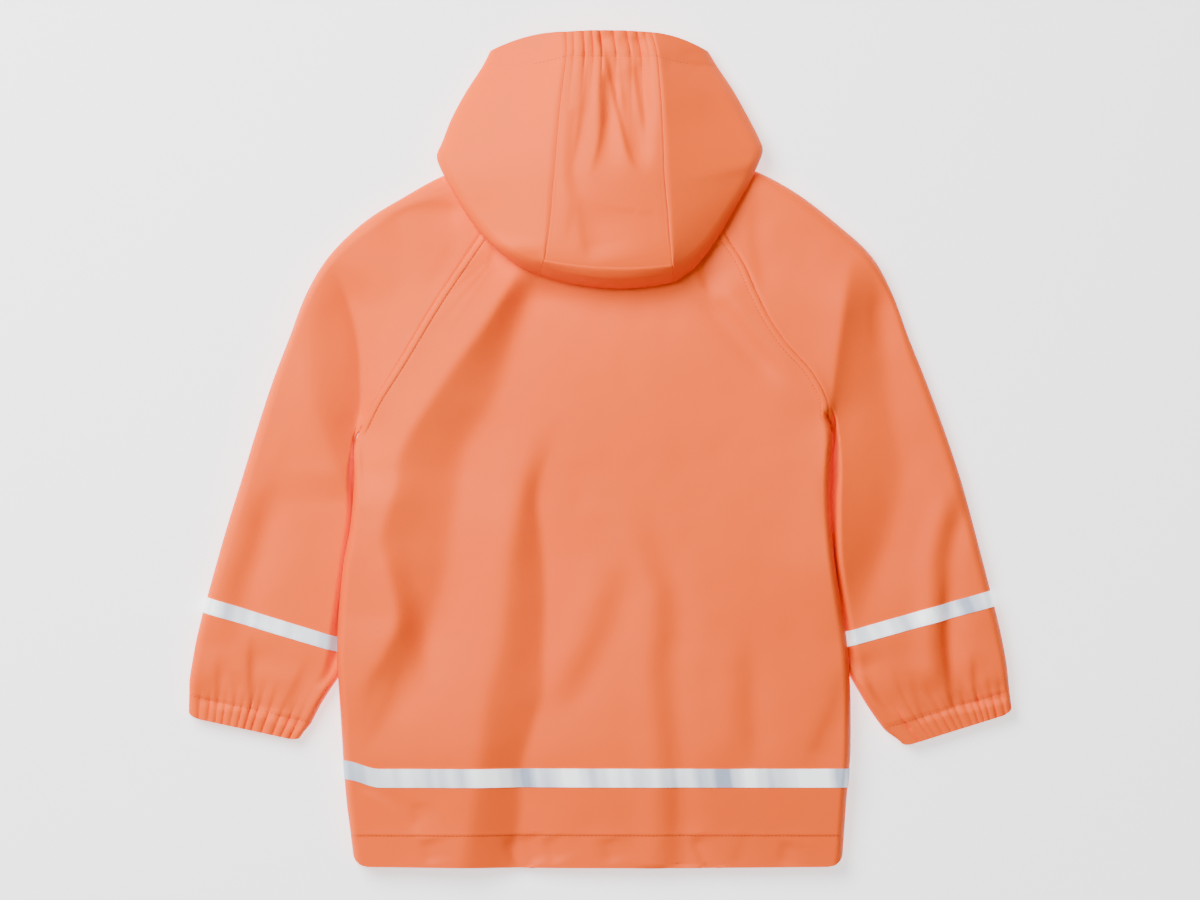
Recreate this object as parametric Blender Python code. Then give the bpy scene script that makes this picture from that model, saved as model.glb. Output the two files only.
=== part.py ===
"""Child's hooded rain jacket with raglan sleeves, laid flat on its front with the back up.

The jacket lies on the plane z = 0 with its hood towards +Y and its hem towards -Y, and the wearer's
left is at -X. Each cut piece is a thin wall: rows of points are worked out on the middle of the cloth
from the outlines, heights and folds below, and loft() gives them their thickness.
The tables hold millimetres, and jacket_object() turns them into metres.
"""
from collections import namedtuple

import bmesh
import bpy
import numpy as np

# Driving dimensions, mm
WALL = 1.2            # coated cloth with its seam turnings
GAP = 0.3             # clearance between pieces that are sewn together
TAPE_WALL = 0.8       # reflective tape
TAPE_LIFT = TAPE_WALL + GAP
ORIGIN = (0.1, -0.7, 0)   # under the middle of the whole jacket, in the tables' own frame
FLOOR = WALL / 2      # middle of a cloth that lies on the ground
HEM_Y = -348.0
NECK_THICKNESS = 15.0     # of the two layers with the air between them
BODY_THICKNESS = 24.0
HEM_THICKNESS = 17.0
CROWN_START, CROWN_END, CROWN_BLEND = 215.0, -240.0, 110.0    # y where they begin to change, and over what
EDGE_ROLL = 12.0      # how far in from an edge the upper layer rounds over
UNDER_ROLL = 9.0      # the same for the lower layer
NECK_LIFT = WALL + GAP + 0.1  # of the front neck edge, over the hood's lower layer
TUCK_HEIGHT = 13.0    # body side edge where it lies over the sleeve
FREE_HEIGHT = 8.0     # every other side edge
UNDERARM_HEIGHT = 9.0
UNDERARM_DIP = 7.5    # how far the upper layer sinks towards the underarm
UNDERARM_REACH = 30.0
SLEEVE_EXIT = -190.0  # y where the sleeve comes out from under the body's side edge
SIDE_BLEND = 45.0     # length over which the side edge comes down again beyond it
SIDE_CLIMB = 18.0     # length below the underarm over which the side edge climbs on to the sleeve
BEVEL = (9.0, 27.0)   # the front rises to the tucked side edge between these distances from it
LIP = (4.0, 9.0)      # reach of the front's own edge roll, tucked and free
LIP_SHARE = 0.2       # of the tucked side edge's height that lies in its roll
INNER_CLIMB = (7.0, 26.0)     # the sleeve's upper layer comes out from under the body between these
INNER_ROLL = 3.5      # roll of the sleeve's tucked inner edge
UNDER_SHARE = 0.75    # roll of a sleeve's lower layer, as a share of the upper one's
BODY_REACH = 15.0     # how far from the inner edge the body's own height takes over
PLACKET_WIDTH = 32.0
STUD_RADIUS = 6.0
STUD_THICKNESS = 0.8
STUD_COUNT = 5
STUD_SPAN = (0.05, 0.92)  # first and last stud, as fractions of the front from neck to hem
HOOD_CLEARANCE = 3.2  # from the back up to the hood that lies on it, between cloth middles

UNDERARM = {"left": (-199.6, 15.8), "right": (189.2, 27.5)}
NECK_SIDE = {"left": (-83.3, 244.2), "right": (93.3, 244.2)}
NECK_CENTRE = (4.2, 225.0)
CENTRE_FRONT = ((4.2, 177.5), (-6.0, HEM_Y))

# Side edges of the body, underarm to hem
BODY_SIDE = {
    "left": [(-199.6, 15.8), (-203, 8), (-204.6, -4), (-204.4, -26), (-207.5, -63), (-213, -93),
             (-216.5, -126), (-218.5, -168), (-216.5, -209), (-213.5, -259), (-211, -292), (-207.5, -320),
             (-204, -349)],
    "right": [(189.2, 27.5), (192.2, 19), (193.2, 7), (192, -8), (191, -42), (194, -84), (200, -126),
              (205, -160), (208, -200), (208.5, -246), (207.5, -266), (205, -292), (203, -320), (201, -349)],
}
HEM_CORNER = 11.0

# Raglan seams, underarm to neck
BACK_RAGLAN = {
    "left": [(-199.6, 15.8), (-186, 42.5), (-165.8, 74.2), (-135, 125), (-99.2, 178.3), (-65.8, 227.5)],
    "right": [(189.2, 27.5), (187.3, 43), (175.5, 64.6), (155.4, 87.5), (140.8, 109.2), (129.2, 132.5),
              (118.1, 156.7), (101.7, 181.7), (73.3, 226.7)],
}
FRONT_RAGLAN = {
    "left": [(-199.6, 15.8), (-178, 48), (-140, 100), (-105, 150), (-82, 192), (-73.3, 222.5)],
    "right": [(189.2, 27.5), (170, 58), (143, 105), (113, 150), (91, 192), (81.7, 222.5)],
}
RAGLAN_STATIONS = (0, 0.045, 0.1, 0.17, 0.27, 0.39, 0.51, 0.63, 0.75, 0.88, 1)

# Neck seam
BACK_NECK = [(-65.8, 227.5), (-40, 218.3), (4.2, 215), (48.3, 218.3), (73.3, 226.7)]
FRONT_NECK = {
    "left": [(-73.3, 222.5), (-60.8, 205.8), (-47.5, 192.5), (-33.3, 184.2), (-16.7, 179.2), (4.2, 177.5)],
    "right": [(81.7, 222.5), (69.2, 205.8), (55.9, 192.5), (41.7, 184.2), (25.1, 179.2), (4.2, 177.5)],
}

# Body rows between hem and underarm, and how much higher each is at the two side edges
BodyRow = namedtuple("BodyRow", "y left_rise right_rise")
BODY_ROWS = [
    BodyRow(-348, 0, 0), BodyRow(-345, 0, 0), BodyRow(-337, 0, 0), BodyRow(-321, 0, 0), BodyRow(-300, 3, 0),
    BodyRow(-281.5, 7, 0), BodyRow(-266, 7, 0), BodyRow(-242, 3, 0), BodyRow(-215, 0, 0),
    BodyRow(-188, 0, 0), BodyRow(-160, 0, 0), BodyRow(-130, 0, 0), BodyRow(-100, 0, 0), BodyRow(-70, 0, 0),
    BodyRow(-42, 0, 0), BodyRow(-18, 0, 4), BodyRow(0, 7, 18),
]
BODY_TAPE = (5, 6)    # the rows at the two edges of the reflective tape
RISE_REACH = 30.0     # how far in from a side edge its rise dies away
BACK_CELLS = 16       # between the rolls of the two side edges
FRONT_CELLS = 5
ROLL_STEPS = np.array([0, 0.134, 0.5, 1])     # of a roll's reach, where its points lie
NECK_ROWS = 5         # body rows over which the curve of the neck straightens out
HEM_SAG = 1.2
PLACKET_STEP = 8.0    # over which a front rises to its placket

# A fold is a soft ridge on the left of its path with a trough on the right, seen along the path
Fold = namedtuple("Fold", "height width fade_in fade_out path")
BODY_FOLDS = [
    Fold(5.0, 20, 0.15, 0.10, [(-194, -242), (-181, -209), (-167, -168), (-166, -126), (-164, -84),
                               (-158, -42), (-146, -1), (-127, 33), (-102, 84), (-67, 142)]),
    Fold(5.0, 16, 0.02, 0.25, [(-104, -352), (-96, -310), (-88, -260), (-83, -209), (-71, -168),
                               (-56, -126), (-54, -84), (-60, -42), (-49, 20)]),
    Fold(2.2, 12, 0.02, 0.30, [(58, -352), (57, -259), (51, -190), (54, -126), (40, -84), (18, -30)]),
    Fold(1.5, 9, 0.30, 0.30, [(84, 142), (122, 96), (160, 52)]),
]
SLEEVE_FOLDS = [
    Fold(3.2, 15, 0.30, 0.25, [(-203, -26), (-214, 24), (-220, 66), (-222, 107), (-235, 137)]),
    Fold(3.2, 15, 0.20, 0.20, [(208, -140), (215, -76), (218, -26), (210, 20), (212, 66), (218, 107),
                               (222, 148)]),
    Fold(1.4, 14, 0.25, 0.25, [(-300, -170), (-306, -126), (-294, -84), (-278, -20)]),
    Fold(2.0, 11, 0.15, 0.25, [(289, -205), (283, -168), (284, -126), (286, -84), (302, -20)]),
]

# Sleeve sections from the raglan seam to the cuff: outer edge, inner edge and its height, height of the
# upper layer, roll of the edges, share of the body's own height, how far the inner edge is tucked under the
# body, how far its very edge reaches in further, lift for the tape, and depth of the gathers
Section = namedtuple("Section", "outer_x outer_y inner_x inner_y inner_z crown roll body tuck reach lift"
                                " gather")
SLEEVE_SECTIONS = {
    "left": [
        Section(-83.3, 244.2, -201.2, 16.7, 9.0, 20, 12, 1.0, 0.0, 0, 0, 0),
        Section(-129.0, 228.0, -204.4, 10.5, 8.0, 20, 12, 0.7, 0.4, 0.8, 0, 0),
        Section(-162.5, 210.0, -206, 4.5, 6.6, 20, 12, 0.4, 0.8, 2.0, 0, 0),
        Section(-196.0, 189.0, -206.2, -1.5, 5.6, 20, 12, 0.2, 1.0, 2.0, 0, 0),
        Section(-225.0, 161.0, -205.4, -7.5, 4.8, 20, 12, 0.1, 1.0, 1.5, 0, 0),
        Section(-244.0, 130.0, -204.2, -13.5, 4.3, 20, 12, 0.04, 1.0, 1.0, 0, 0),
        Section(-258.5, 92.5, -202.6, -19.5, 4.0, 20, 12, 0, 1.0, 0.5, 0, 0),
        Section(-272.5, 56.0, -201.0, -27.0, 3.8, 20, 12, 0, 1.0, 0, 0, 0),
        Section(-286.5, 13.0, -198.6, -39.0, 3.8, 20, 12, 0, 1.0, 0, 0, 0),
        Section(-299.0, -28.0, -197.5, -63.0, 3.8, 20, 12, 0, 1.0, 0, 0, 0),
        Section(-312.0, -70.0, -203.0, -100.0, 3.8, 19, 12, 0, 1.0, 0, 0, 0),
        Section(-327.0, -123.5, -211.7, -159.0, 3.8, 18, 11, 0, 1.0, 0, 1, 0),
        Section(-330.5, -136.0, -213.0, -171.0, 4.2, 18, 11, 0, 0.8, 0, 1, 0),
        Section(-336.0, -159.0, -218.0, -188.5, 5.0, 17, 10, 0, 0.4, 0, 0, 0),
        Section(-339.5, -178.0, -226.0, -201.0, 7.0, 17, 9, 0, 0.0, 0, 0, 0.5),
        Section(-341.7, -192.5, -234.0, -214.0, 7.0, 16, 8, 0, 0.0, 0, 0, 1.0),
        Section(-342.0, -205.0, -241.0, -227.5, 7.0, 14, 7, 0, 0.0, 0, 0, 1.5),
        Section(-342.5, -223.5, -250.0, -243.5, 7.0, 13, 7, 0, 0.0, 0, 0, 1.4),
    ],
    "right": [
        Section(93.3, 244.2, 190.8, 28.5, 9.0, 20, 12, 1.0, 0.0, 0, 0, 0),
        Section(131.0, 230.5, 193.4, 22.5, 8.0, 20, 12, 0.7, 0.4, 1.0, 0, 0),
        Section(164.0, 212.5, 195.8, 16.5, 6.6, 20, 12, 0.4, 0.8, 3.5, 0, 0),
        Section(196.0, 188.0, 196.1, 11.5, 6.1, 20, 12, 0.2, 1.0, 4, 0, 0),
        Section(225.0, 161.5, 195.1, 3.5, 5.3, 20, 12, 0.1, 1.0, 3, 0, 0),
        Section(242.5, 131.0, 193.8, -1.5, 4.3, 20, 12, 0.04, 1.0, 2, 0, 0),
        Section(257.5, 91.0, 191.4, -7.5, 4.0, 20, 12, 0, 1.0, 1, 0, 0),
        Section(271.5, 56.0, 189.0, -15.0, 3.8, 20, 12, 0, 1.0, 0, 0, 0),
        Section(287.5, 13.0, 187.0, -28.0, 3.8, 20, 12, 0, 1.0, 0, 0, 0),
        Section(301.0, -28.0, 185.5, -57.0, 3.8, 20, 12, 0, 1.0, 0, 0, 0),
        Section(312.5, -70.0, 187.0, -97.0, 3.8, 19, 12, 0, 1.0, 0, 0, 0),
        Section(325.0, -118.0, 196.7, -154.6, 3.8, 18, 11, 0, 1.0, 0, 1, 0),
        Section(328.3, -131.0, 198.5, -167.0, 4.2, 18, 11, 0, 0.8, 0, 1, 0),
        Section(333.8, -154.0, 205.0, -182.5, 5.0, 17, 10, 0, 0.4, 0, 0, 0),
        Section(338.0, -176.0, 214.0, -198.0, 7.0, 17, 9, 0, 0.0, 0, 0, 0.5),
        Section(339.6, -189.0, 223.5, -214.0, 7.0, 16, 8, 0, 0.0, 0, 0, 1.0),
        Section(340.8, -201.0, 236.7, -232.5, 7.0, 14, 7, 0, 0.0, 0, 0, 1.5),
        Section(343.3, -220.0, 252.0, -248.5, 7.0, 13, 7, 0, 0.0, 0, 0, 1.4),
    ],
}
SLEEVE_TAPE = (11, 12)    # the sections at the two edges of the reflective tape
FAN_SECTIONS = 5      # sections over which the curve of the raglan seam straightens out
SLEEVE_LIP = 2.6      # half the height of the inner edge that is tucked under the body
SLEEVE_CELLS = 8      # across a section between its two rolls
CUFF_CORNER = 5.0
GATHER_CALM = 10.0    # how far in from a folded edge the gathers reach their full depth

# Hood sides, face edge first: hood seam, outer fold, the bend of the lower layer round the neck, neck seam,
# rise of the cloth above the fold, roll of the fold, and how far the lower layer lies over the back
HoodRow = namedtuple("HoodRow", "seam_x seam_y seam_z fold_x fold_y fold_z bend_x bend_y neck_x neck_y"
                                " rise roll over bow")
HOOD_ROWS = {
    "left": [
        HoodRow(-28.3, 346.3, 34, -90.8, 331.7, 9, -45.8, 270, 1.7, 177.5, 5, 9, 0, 4),
        HoodRow(-28.3, 325.8, 42, -98.3, 317.5, 9, -54.2, 265.8, -16.7, 179.2, 5, 9, 0, -3),
        HoodRow(-32.5, 292.5, 50, -111.7, 296.7, 10, -66.7, 259.2, -33.3, 184.2, 6, 9, 0, 0),
        HoodRow(-35, 267.5, 53, -123.3, 275, 12, -75.8, 255.8, -47.5, 192.5, 6, 9, 0, 0),
        HoodRow(-36.7, 247.5, 55, -130.8, 255.8, 14, -82.5, 251.7, -60.8, 205.8, 7, 9, 0, 0),
        HoodRow(-37.9, 230.8, 56, -135.4, 244.2, 17, -90.7, 249.2, -73.3, 222.5, 7, 9, 0, 0),
        HoodRow(-39.2, 219.2, 56, -132.5, 234.2, 20, -93, 251.5, -83.3, 246.9, 8, 9, 0.35, 0),
        HoodRow(-40, 209.2, 56, -128.3, 225.8, 23, -99, 234, -74.6, 235.8, 8, 9, 1, 0),
        HoodRow(-40.8, 197.5, 56, -121.7, 214.2, 25, -94, 221, -65.8, 227.5, 9, 10, 1, 0),
        HoodRow(-42.1, 185.8, 56, -112.5, 198.3, 27, -85, 211, -58.3, 224.2, 10, 10, 1, 0),
        HoodRow(-43.3, 175.8, 56, -99.2, 180, 28, -75, 200, -50.8, 221.6, 12, 11, 1, 0),
        HoodRow(-44.6, 167.5, 55.5, -84.2, 165, 29, -64, 192, -43.3, 219.2, 15, 12, 1, 0),
        HoodRow(-45.4, 161.7, 55, -66.7, 151.7, 30, -51, 185, -35.8, 217.5, 19, 13, 1, 0),
        HoodRow(-46.7, 156.5, 53.5, -50, 145, 31, -39, 181, -28.3, 216.7, 22, 14, 1, 0),
    ],
    "right": [
        HoodRow(43.3, 345.8, 34, 90, 330.8, 9, 54.2, 270, 6.7, 177.5, 5, 9, 0, 3),
        HoodRow(47.9, 325.8, 42, 97.5, 318.3, 9, 62.6, 265.8, 25.1, 179.2, 5, 9, 0, -2),
        HoodRow(50.8, 292.5, 50, 110.8, 298.3, 10, 75.1, 259.2, 41.7, 184.2, 6, 9, 0, 0),
        HoodRow(52.1, 267.5, 53, 123.3, 275.8, 12, 84.2, 255.8, 55.9, 192.5, 6, 9, 0, 0),
        HoodRow(52.9, 247.5, 55, 132.5, 257.5, 14, 91.5, 251.7, 69.2, 205.8, 7, 9, 0, 0),
        HoodRow(53.3, 230.8, 56, 135, 248.3, 17, 100, 247.7, 81.7, 222.5, 7, 9, 0, 0),
        HoodRow(54.2, 219.2, 56, 131.7, 238.3, 20, 103, 253, 94.3, 246.9, 8, 9, 0.35, 0),
        HoodRow(55, 209.2, 56, 127.9, 230, 23, 108, 234.5, 83.3, 235.5, 8, 9, 1, 0),
        HoodRow(56.3, 197.5, 56, 121.7, 217.5, 25, 98, 222, 73.3, 226.7, 9, 10, 1, 0),
        HoodRow(57.1, 185.8, 56, 113.3, 203.3, 27, 90, 214, 66, 224, 10, 10, 1, 0),
        HoodRow(57.9, 175.8, 56, 102.5, 184.2, 28, 80, 203, 58.5, 221.6, 12, 11, 1, 0),
        HoodRow(58.8, 167.5, 55.5, 91.7, 167.5, 29, 70, 194, 51, 219.2, 15, 12, 1, 0),
        HoodRow(59.6, 160, 55, 77.5, 150, 30, 59, 185, 44, 217.5, 19, 13, 1, 0),
        HoodRow(60.4, 152.5, 53.5, 61.7, 139.2, 31, 48, 180, 36.7, 216.7, 22, 14, 1, 0),
    ],
}
HOOD_UNDER_ROLL = 8.0 # reach of the fold's roll in the lower layer
HOOD_TOP_CELLS = 5
HOOD_UNDER_CELLS = 3  # points from the fold to the bend, and from there to the neck seam
CENTRE_CELLS = 10
GATHERED_ROWS = 3     # rows of the hood's centre strip that the elastic draws up
CENTRE_GATHER = 1.2
CENTRE_BULGE = 4.0
CENTRE_BOW = 8.0      # how far the fold of the centre strip hangs below a straight line
NECK_BOW = 1.7        # the same for its neck edge
CENTRE_TROUGHS = [    # depth, width, and the path on the hood's centre strip
    Fold(3.0, 6, 0.30, 0.02, [(2, 250), (4, 300), (3, 340)]),
    Fold(2.0, 7, 0.30, 0.10, [(-15, 190), (-28, 231), (-26, 285)]),
    Fold(1.5, 7, 0.30, 0.10, [(32, 225), (26, 270), (25, 322)]),
]

CORAL = (0.95, 0.33, 0.17, 1)
SILVER = (0.72, 0.75, 0.79, 1)
STUD_ORANGE = (0.90, 0.28, 0.12, 1)


def along(points, fractions):
    """Points at the given fractions of a smooth curve's length; the curve passes through points."""
    knots = np.asarray(points, float)
    padded = np.vstack([2 * knots[0] - knots[1], knots, 2 * knots[-1] - knots[-2]])
    t = np.linspace(0, 1, 12, endpoint=False)[:, None]
    pieces = []
    for a, b, c, d in zip(padded[:-3], padded[1:-2], padded[2:-1], padded[3:]):
        cubic = (2 * b) + (c - a) * t + (2 * a - 5 * b + 4 * c - d) * t**2 + (3 * b - a - 3 * c + d) * t**3
        pieces.append(cubic / 2)
    fine = np.vstack(pieces + [knots[-1:]])
    run = np.concatenate([[0], np.cumsum(np.linalg.norm(np.diff(fine, axis=0), axis=1))])
    wanted = np.asarray(fractions, float) * run[-1]
    return np.column_stack([np.interp(wanted, run, column) for column in fine.T])


def offset_from(path, points):
    """Signed distance of each point to a path in plan, positive on its right, and the fraction run."""
    path = np.asarray(path, float)
    points = np.asarray(points, float)[..., :2]
    lengths = np.linalg.norm(np.diff(path, axis=0), axis=1)
    starts = np.concatenate([[0], np.cumsum(lengths)])
    nearest = np.full(points.shape[:-1], np.inf)
    signed = np.zeros(points.shape[:-1])
    run = np.zeros(points.shape[:-1])
    for a, b, length, start in zip(path[:-1], path[1:], lengths, starts):
        direction = (b - a) / length
        away = points - a
        t = np.clip(away @ direction, 0, length)
        distance = np.linalg.norm(away - t[..., None] * direction, axis=-1)
        side = np.where(direction[1] * away[..., 0] - direction[0] * away[..., 1] < 0, -1.0, 1.0)
        closer = distance < nearest
        nearest = np.where(closer, distance, nearest)
        signed = np.where(closer, side * distance, signed)
        run = np.where(closer, start + t, run)
    return signed, run / starts[-1]


def rounded(distance, reach):
    """0 at an edge, rising in a quarter of an ellipse to 1 where distance is reach."""
    short = np.clip(1 - distance / reach, 0, 1)
    return np.sqrt(1 - short**2)


def eased(value):
    """0 below 0, 1 above 1, and a smooth S between."""
    value = np.clip(value, 0, 1)
    return value * value * (3 - 2 * value)


def folded(points, folds):
    """Height that soft folds add at points in plan."""
    total = np.zeros(np.asarray(points).shape[:-1])
    for fold in folds:
        offset, run = offset_from(fold.path, points)
        fade = eased(run / fold.fade_in) * eased((1 - run) / fold.fade_out)
        ratio = offset / fold.width
        total -= fold.height * fade * ratio * np.exp(0.5 - ratio**2 / 2)
    return total


def outer_distance(points):
    """Distance in plan to the shoulder and outer sleeve edge of the nearer side."""
    edges = [[(s.outer_x, s.outer_y) for s in SLEEVE_SECTIONS[side]] for side in ("left", "right")]
    return np.minimum(*[np.abs(offset_from(edge, points)[0]) for edge in edges])


def side_distance(points):
    """Distance in plan to the nearer side edge of the body, which ends at the underarm."""
    return np.minimum(*[np.abs(offset_from(BODY_SIDE[side], points)[0]) for side in ("left", "right")])


def underarm_dip(points):
    """How far the upper layer has sunk at points in plan, towards the nearer underarm."""
    left, right = points[..., :2] - UNDERARM["left"], points[..., :2] - UNDERARM["right"]
    away = np.minimum(np.linalg.norm(left, axis=-1), np.linalg.norm(right, axis=-1))
    return UNDERARM_DIP * np.exp(-(away / UNDERARM_REACH)**2)


def side_height(points):
    """Height of the body's side edge: low at the underarm, raised over the sleeve, low again below it."""
    y = points[..., 1]
    below = np.where(points[..., 0] < 0, UNDERARM["left"][1], UNDERARM["right"][1]) - y
    raised = TUCK_HEIGHT + (FREE_HEIGHT - TUCK_HEIGHT) * eased((SLEEVE_EXIT - y) / SIDE_BLEND)
    return UNDERARM_HEIGHT + (raised - UNDERARM_HEIGHT) * eased(below / SIDE_CLIMB)


def thickness(y):
    """Height of the upper layer clear of every edge and fold."""
    body = NECK_THICKNESS + (BODY_THICKNESS - NECK_THICKNESS) * eased((CROWN_START - y) / CROWN_BLEND)
    return body + (HEM_THICKNESS - BODY_THICKNESS) * eased((CROWN_END - y) / CROWN_BLEND)


def upper(points):
    """Middle height of the back, and of a sleeve where it joins the body."""
    y = points[..., 1]
    crown = thickness(y) + folded(points, BODY_FOLDS + SLEEVE_FOLDS) - underarm_dip(points)
    height = FREE_HEIGHT + (crown - FREE_HEIGHT) * rounded(outer_distance(points), EDGE_ROLL)
    side = side_height(points)
    return side + (height - side) * rounded(side_distance(points), EDGE_ROLL)


def lower(points):
    """Middle height of the fronts, and of a sleeve's lower layer where it joins them."""
    y = points[..., 1]
    distance = side_distance(points)
    tucked = 1 - eased((SLEEVE_EXIT - y) / SIDE_BLEND)
    lip = 1 - rounded(distance, LIP[1] + tucked * (LIP[0] - LIP[1]))
    bevel = 1 - eased((distance - BEVEL[0]) / (BEVEL[1] - BEVEL[0]))
    rise = (side_height(points) - FLOOR) * (lip + tucked * (1 - LIP_SHARE) * (bevel - lip))
    shoulder = (FREE_HEIGHT - FLOOR) * (1 - rounded(outer_distance(points), UNDER_ROLL))
    return FLOOR + np.maximum(rise, shoulder)


def grid_faces(rows, closed):
    """Faces between rows of point numbers. A row may have twice as many cells as the one before."""
    faces = []
    for first, second in zip(rows[:-1], rows[1:]):
        a = list(first) + list(first[:1]) * closed
        b = list(second) + list(second[:1]) * closed
        if len(a) == len(b):
            faces += [(a[i], a[i + 1], b[i + 1], b[i]) for i in range(len(a) - 1)]
        else:
            for i in range(len(a) - 1):
                left, middle, right = b[2 * i:2 * i + 3]
                faces += [(a[i], a[i + 1], middle), (a[i], middle, left), (a[i + 1], right, middle)]
    return faces


def surface_normals(rows, closed):
    """A unit normal for each point of the rows, from the faces round it."""
    counts = [len(row) for row in rows]
    starts = np.concatenate([[0], np.cumsum(counts)])
    numbers = [range(starts[i], starts[i] + counts[i]) for i in range(len(rows))]
    points = np.vstack(rows)
    normals = np.zeros_like(points)
    for face in grid_faces(numbers, closed):
        corners = points[list(face)]
        across = corners[2] - corners[0]
        other = corners[-1] - corners[1]
        facing = np.cross(across, other)
        normals[list(face)] += facing / (np.linalg.norm(facing) + 1e-9)
    normals /= np.linalg.norm(normals, axis=1, keepdims=True) + 1e-12
    return [normals[starts[i]:starts[i + 1]] for i in range(len(rows))]


class Cloth:
    """Rows of points on the middle of one cut piece, with a normal at each that points outwards."""

    def __init__(self, rows, closed=False):
        self.rows = [np.array(row, float) for row in rows]
        self.closed = closed
        self.normals = surface_normals(self.rows, closed)

    def share_normals(self, places, other, other_places):
        """Gives the matching points of two pieces one normal, so that their walls meet face to face."""
        for (row, column), (other_row, other_column) in zip(places, other_places):
            normal = self.normals[row][column] + other.normals[other_row][other_column]
            normal /= np.linalg.norm(normal)
            self.normals[row][column] = other.normals[other_row][other_column] = normal

    def strip(self, rows, columns=slice(None)):
        """The part between two rows, with this piece's own points and normals."""
        part = Cloth([self.rows[row][columns] for row in rows], self.closed)
        part.normals = [self.normals[row][columns] for row in rows]
        return part

    def set_back(self, places, inner_places, distance=GAP / 2):
        """Moves edge points back from a seam, within the cloth and square to the edge."""
        points = np.array([self.rows[r][c] for r, c in places])
        normals = np.array([self.normals[r][c] for r, c in places])
        inward = np.array([self.rows[r][c] for r, c in inner_places]) - points
        edge = np.gradient(points, axis=0)
        edge /= np.linalg.norm(edge, axis=1, keepdims=True)
        inward -= normals * np.sum(inward * normals, axis=1, keepdims=True)
        inward -= edge * np.sum(inward * edge, axis=1, keepdims=True)
        inward /= np.linalg.norm(inward, axis=1, keepdims=True)
        for (row, column), move in zip(places, inward * distance):
            self.rows[row][column] += move

    def loft(self, name, wall, colour, roughness, outwards=0.0):
        """Makes the piece a closed wall, its middle moved outwards from the rows."""
        counts = [len(row) for row in self.rows]
        starts = np.concatenate([[0], np.cumsum(counts)]).astype(int)
        numbers = [list(range(starts[i], starts[i + 1])) for i in range(len(counts))]
        middle = np.vstack(self.rows)
        normals = np.vstack(self.normals)
        total = len(middle)
        points = np.vstack([middle + normals * (outwards + wall / 2), middle + normals * (outwards - wall / 2)])
        skin = []
        for a, b, c, *d in grid_faces(numbers, self.closed):
            skin += [(a, b, c)] + [(a, c, corner) for corner in d]
        faces = skin + [(a + total, c + total, b + total) for a, b, c in skin]
        rims = [numbers[0][::-1], numbers[-1]]
        if self.closed:
            rims = [rim + rim[:1] for rim in rims]
        else:
            rims += [[row[0] for row in numbers], [row[-1] for row in numbers][::-1]]
        for rim in rims:
            faces += [(a, b, b + total, a + total) for a, b in zip(rim[:-1], rim[1:])]
        return jacket_object(name, points, faces, colour, roughness)


def jacket_object(name, points, faces, colour, roughness):
    """A mesh object in the jacket's collection, from points in millimetres."""
    mesh = bpy.data.meshes.new(name)
    placed = (np.asarray(points) - ORIGIN) * 0.001
    mesh.from_pydata([tuple(point) for point in placed], [], faces)
    mesh.update()
    mesh.shade_smooth()
    mesh.set_sharp_from_angle(angle=0.7)
    mesh.materials.append(plain_material(name, colour, roughness))
    piece = bpy.data.objects.new(name, mesh)
    bpy.data.collections["rain_jacket"].objects.link(piece)
    return piece


def plain_material(name, colour, roughness):
    material = bpy.data.materials.new(name + "_finish")
    material.use_nodes = True
    shader = material.node_tree.nodes["Principled BSDF"]
    shader.inputs["Base Color"].default_value = colour
    shader.inputs["Roughness"].default_value = roughness
    return material


def body_side_points(side):
    """Edge points of the body rows, hem to underarm; the hem's corner is rounded in plan."""
    outline = along(BODY_SIDE[side], np.linspace(1, 0, 60))
    ys = np.array([row.y + (row.left_rise if side == "left" else row.right_rise) for row in BODY_ROWS])
    inward = 1 if side == "left" else -1
    xs = np.interp(ys, outline[:, 1], outline[:, 0])
    depth = np.clip(HEM_CORNER - (ys - HEM_Y), 0, HEM_CORNER)
    xs = xs + inward * (HEM_CORNER - np.sqrt(HEM_CORNER**2 - depth**2))
    return np.column_stack([xs, ys])


def levelled(plan, k, from_left, from_right):
    """A body row brought to its own level, apart from its rise at the side edges."""
    if k < len(BODY_ROWS):
        row = BODY_ROWS[k]
        left, right = 1 - eased(from_left / RISE_REACH), 1 - eased(from_right / RISE_REACH)
        plan[:, 1] = row.y + row.left_rise * left + row.right_rise * right
    return plan


def edge_column(side, raglan):
    """Points of a panel's side boundary: the side edge up to the underarm, then the raglan seam."""
    return np.vstack([body_side_points(side), along(raglan[side], RAGLAN_STATIONS)])


def between(start, end, distances):
    """Points on the line from start to end at distances from start."""
    span = end - start
    length = np.linalg.norm(span)
    return start + span * (np.asarray(distances)[:, None] / length)


def make_back():
    left, right = edge_column("left", BACK_RAGLAN), edge_column("right", BACK_RAGLAN)
    rows = []
    last = len(left) - 1
    for k, (start, end) in enumerate(zip(left, right)):
        width = np.linalg.norm(end - start)
        roll = EDGE_ROLL * ROLL_STEPS
        middle = np.linspace(EDGE_ROLL, width - EDGE_ROLL, BACK_CELLS + 1)[1:-1]
        distances = np.concatenate([roll, middle, width - roll[::-1]])
        plan = levelled(between(start, end, distances), k, distances, width - distances)
        if k > last - NECK_ROWS:
            fractions = distances / width
            curve = along(BACK_NECK, fractions) - (left[-1] + (right[-1] - left[-1]) * fractions[:, None])
            plan = plan + curve * (1 - (last - k) / NECK_ROWS)
        if k == 0:
            plan[:, 1] -= HEM_SAG * np.sin(np.pi * distances / width)
        rows.append(np.column_stack([plan, upper(plan)]))
    return Cloth(rows)


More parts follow.
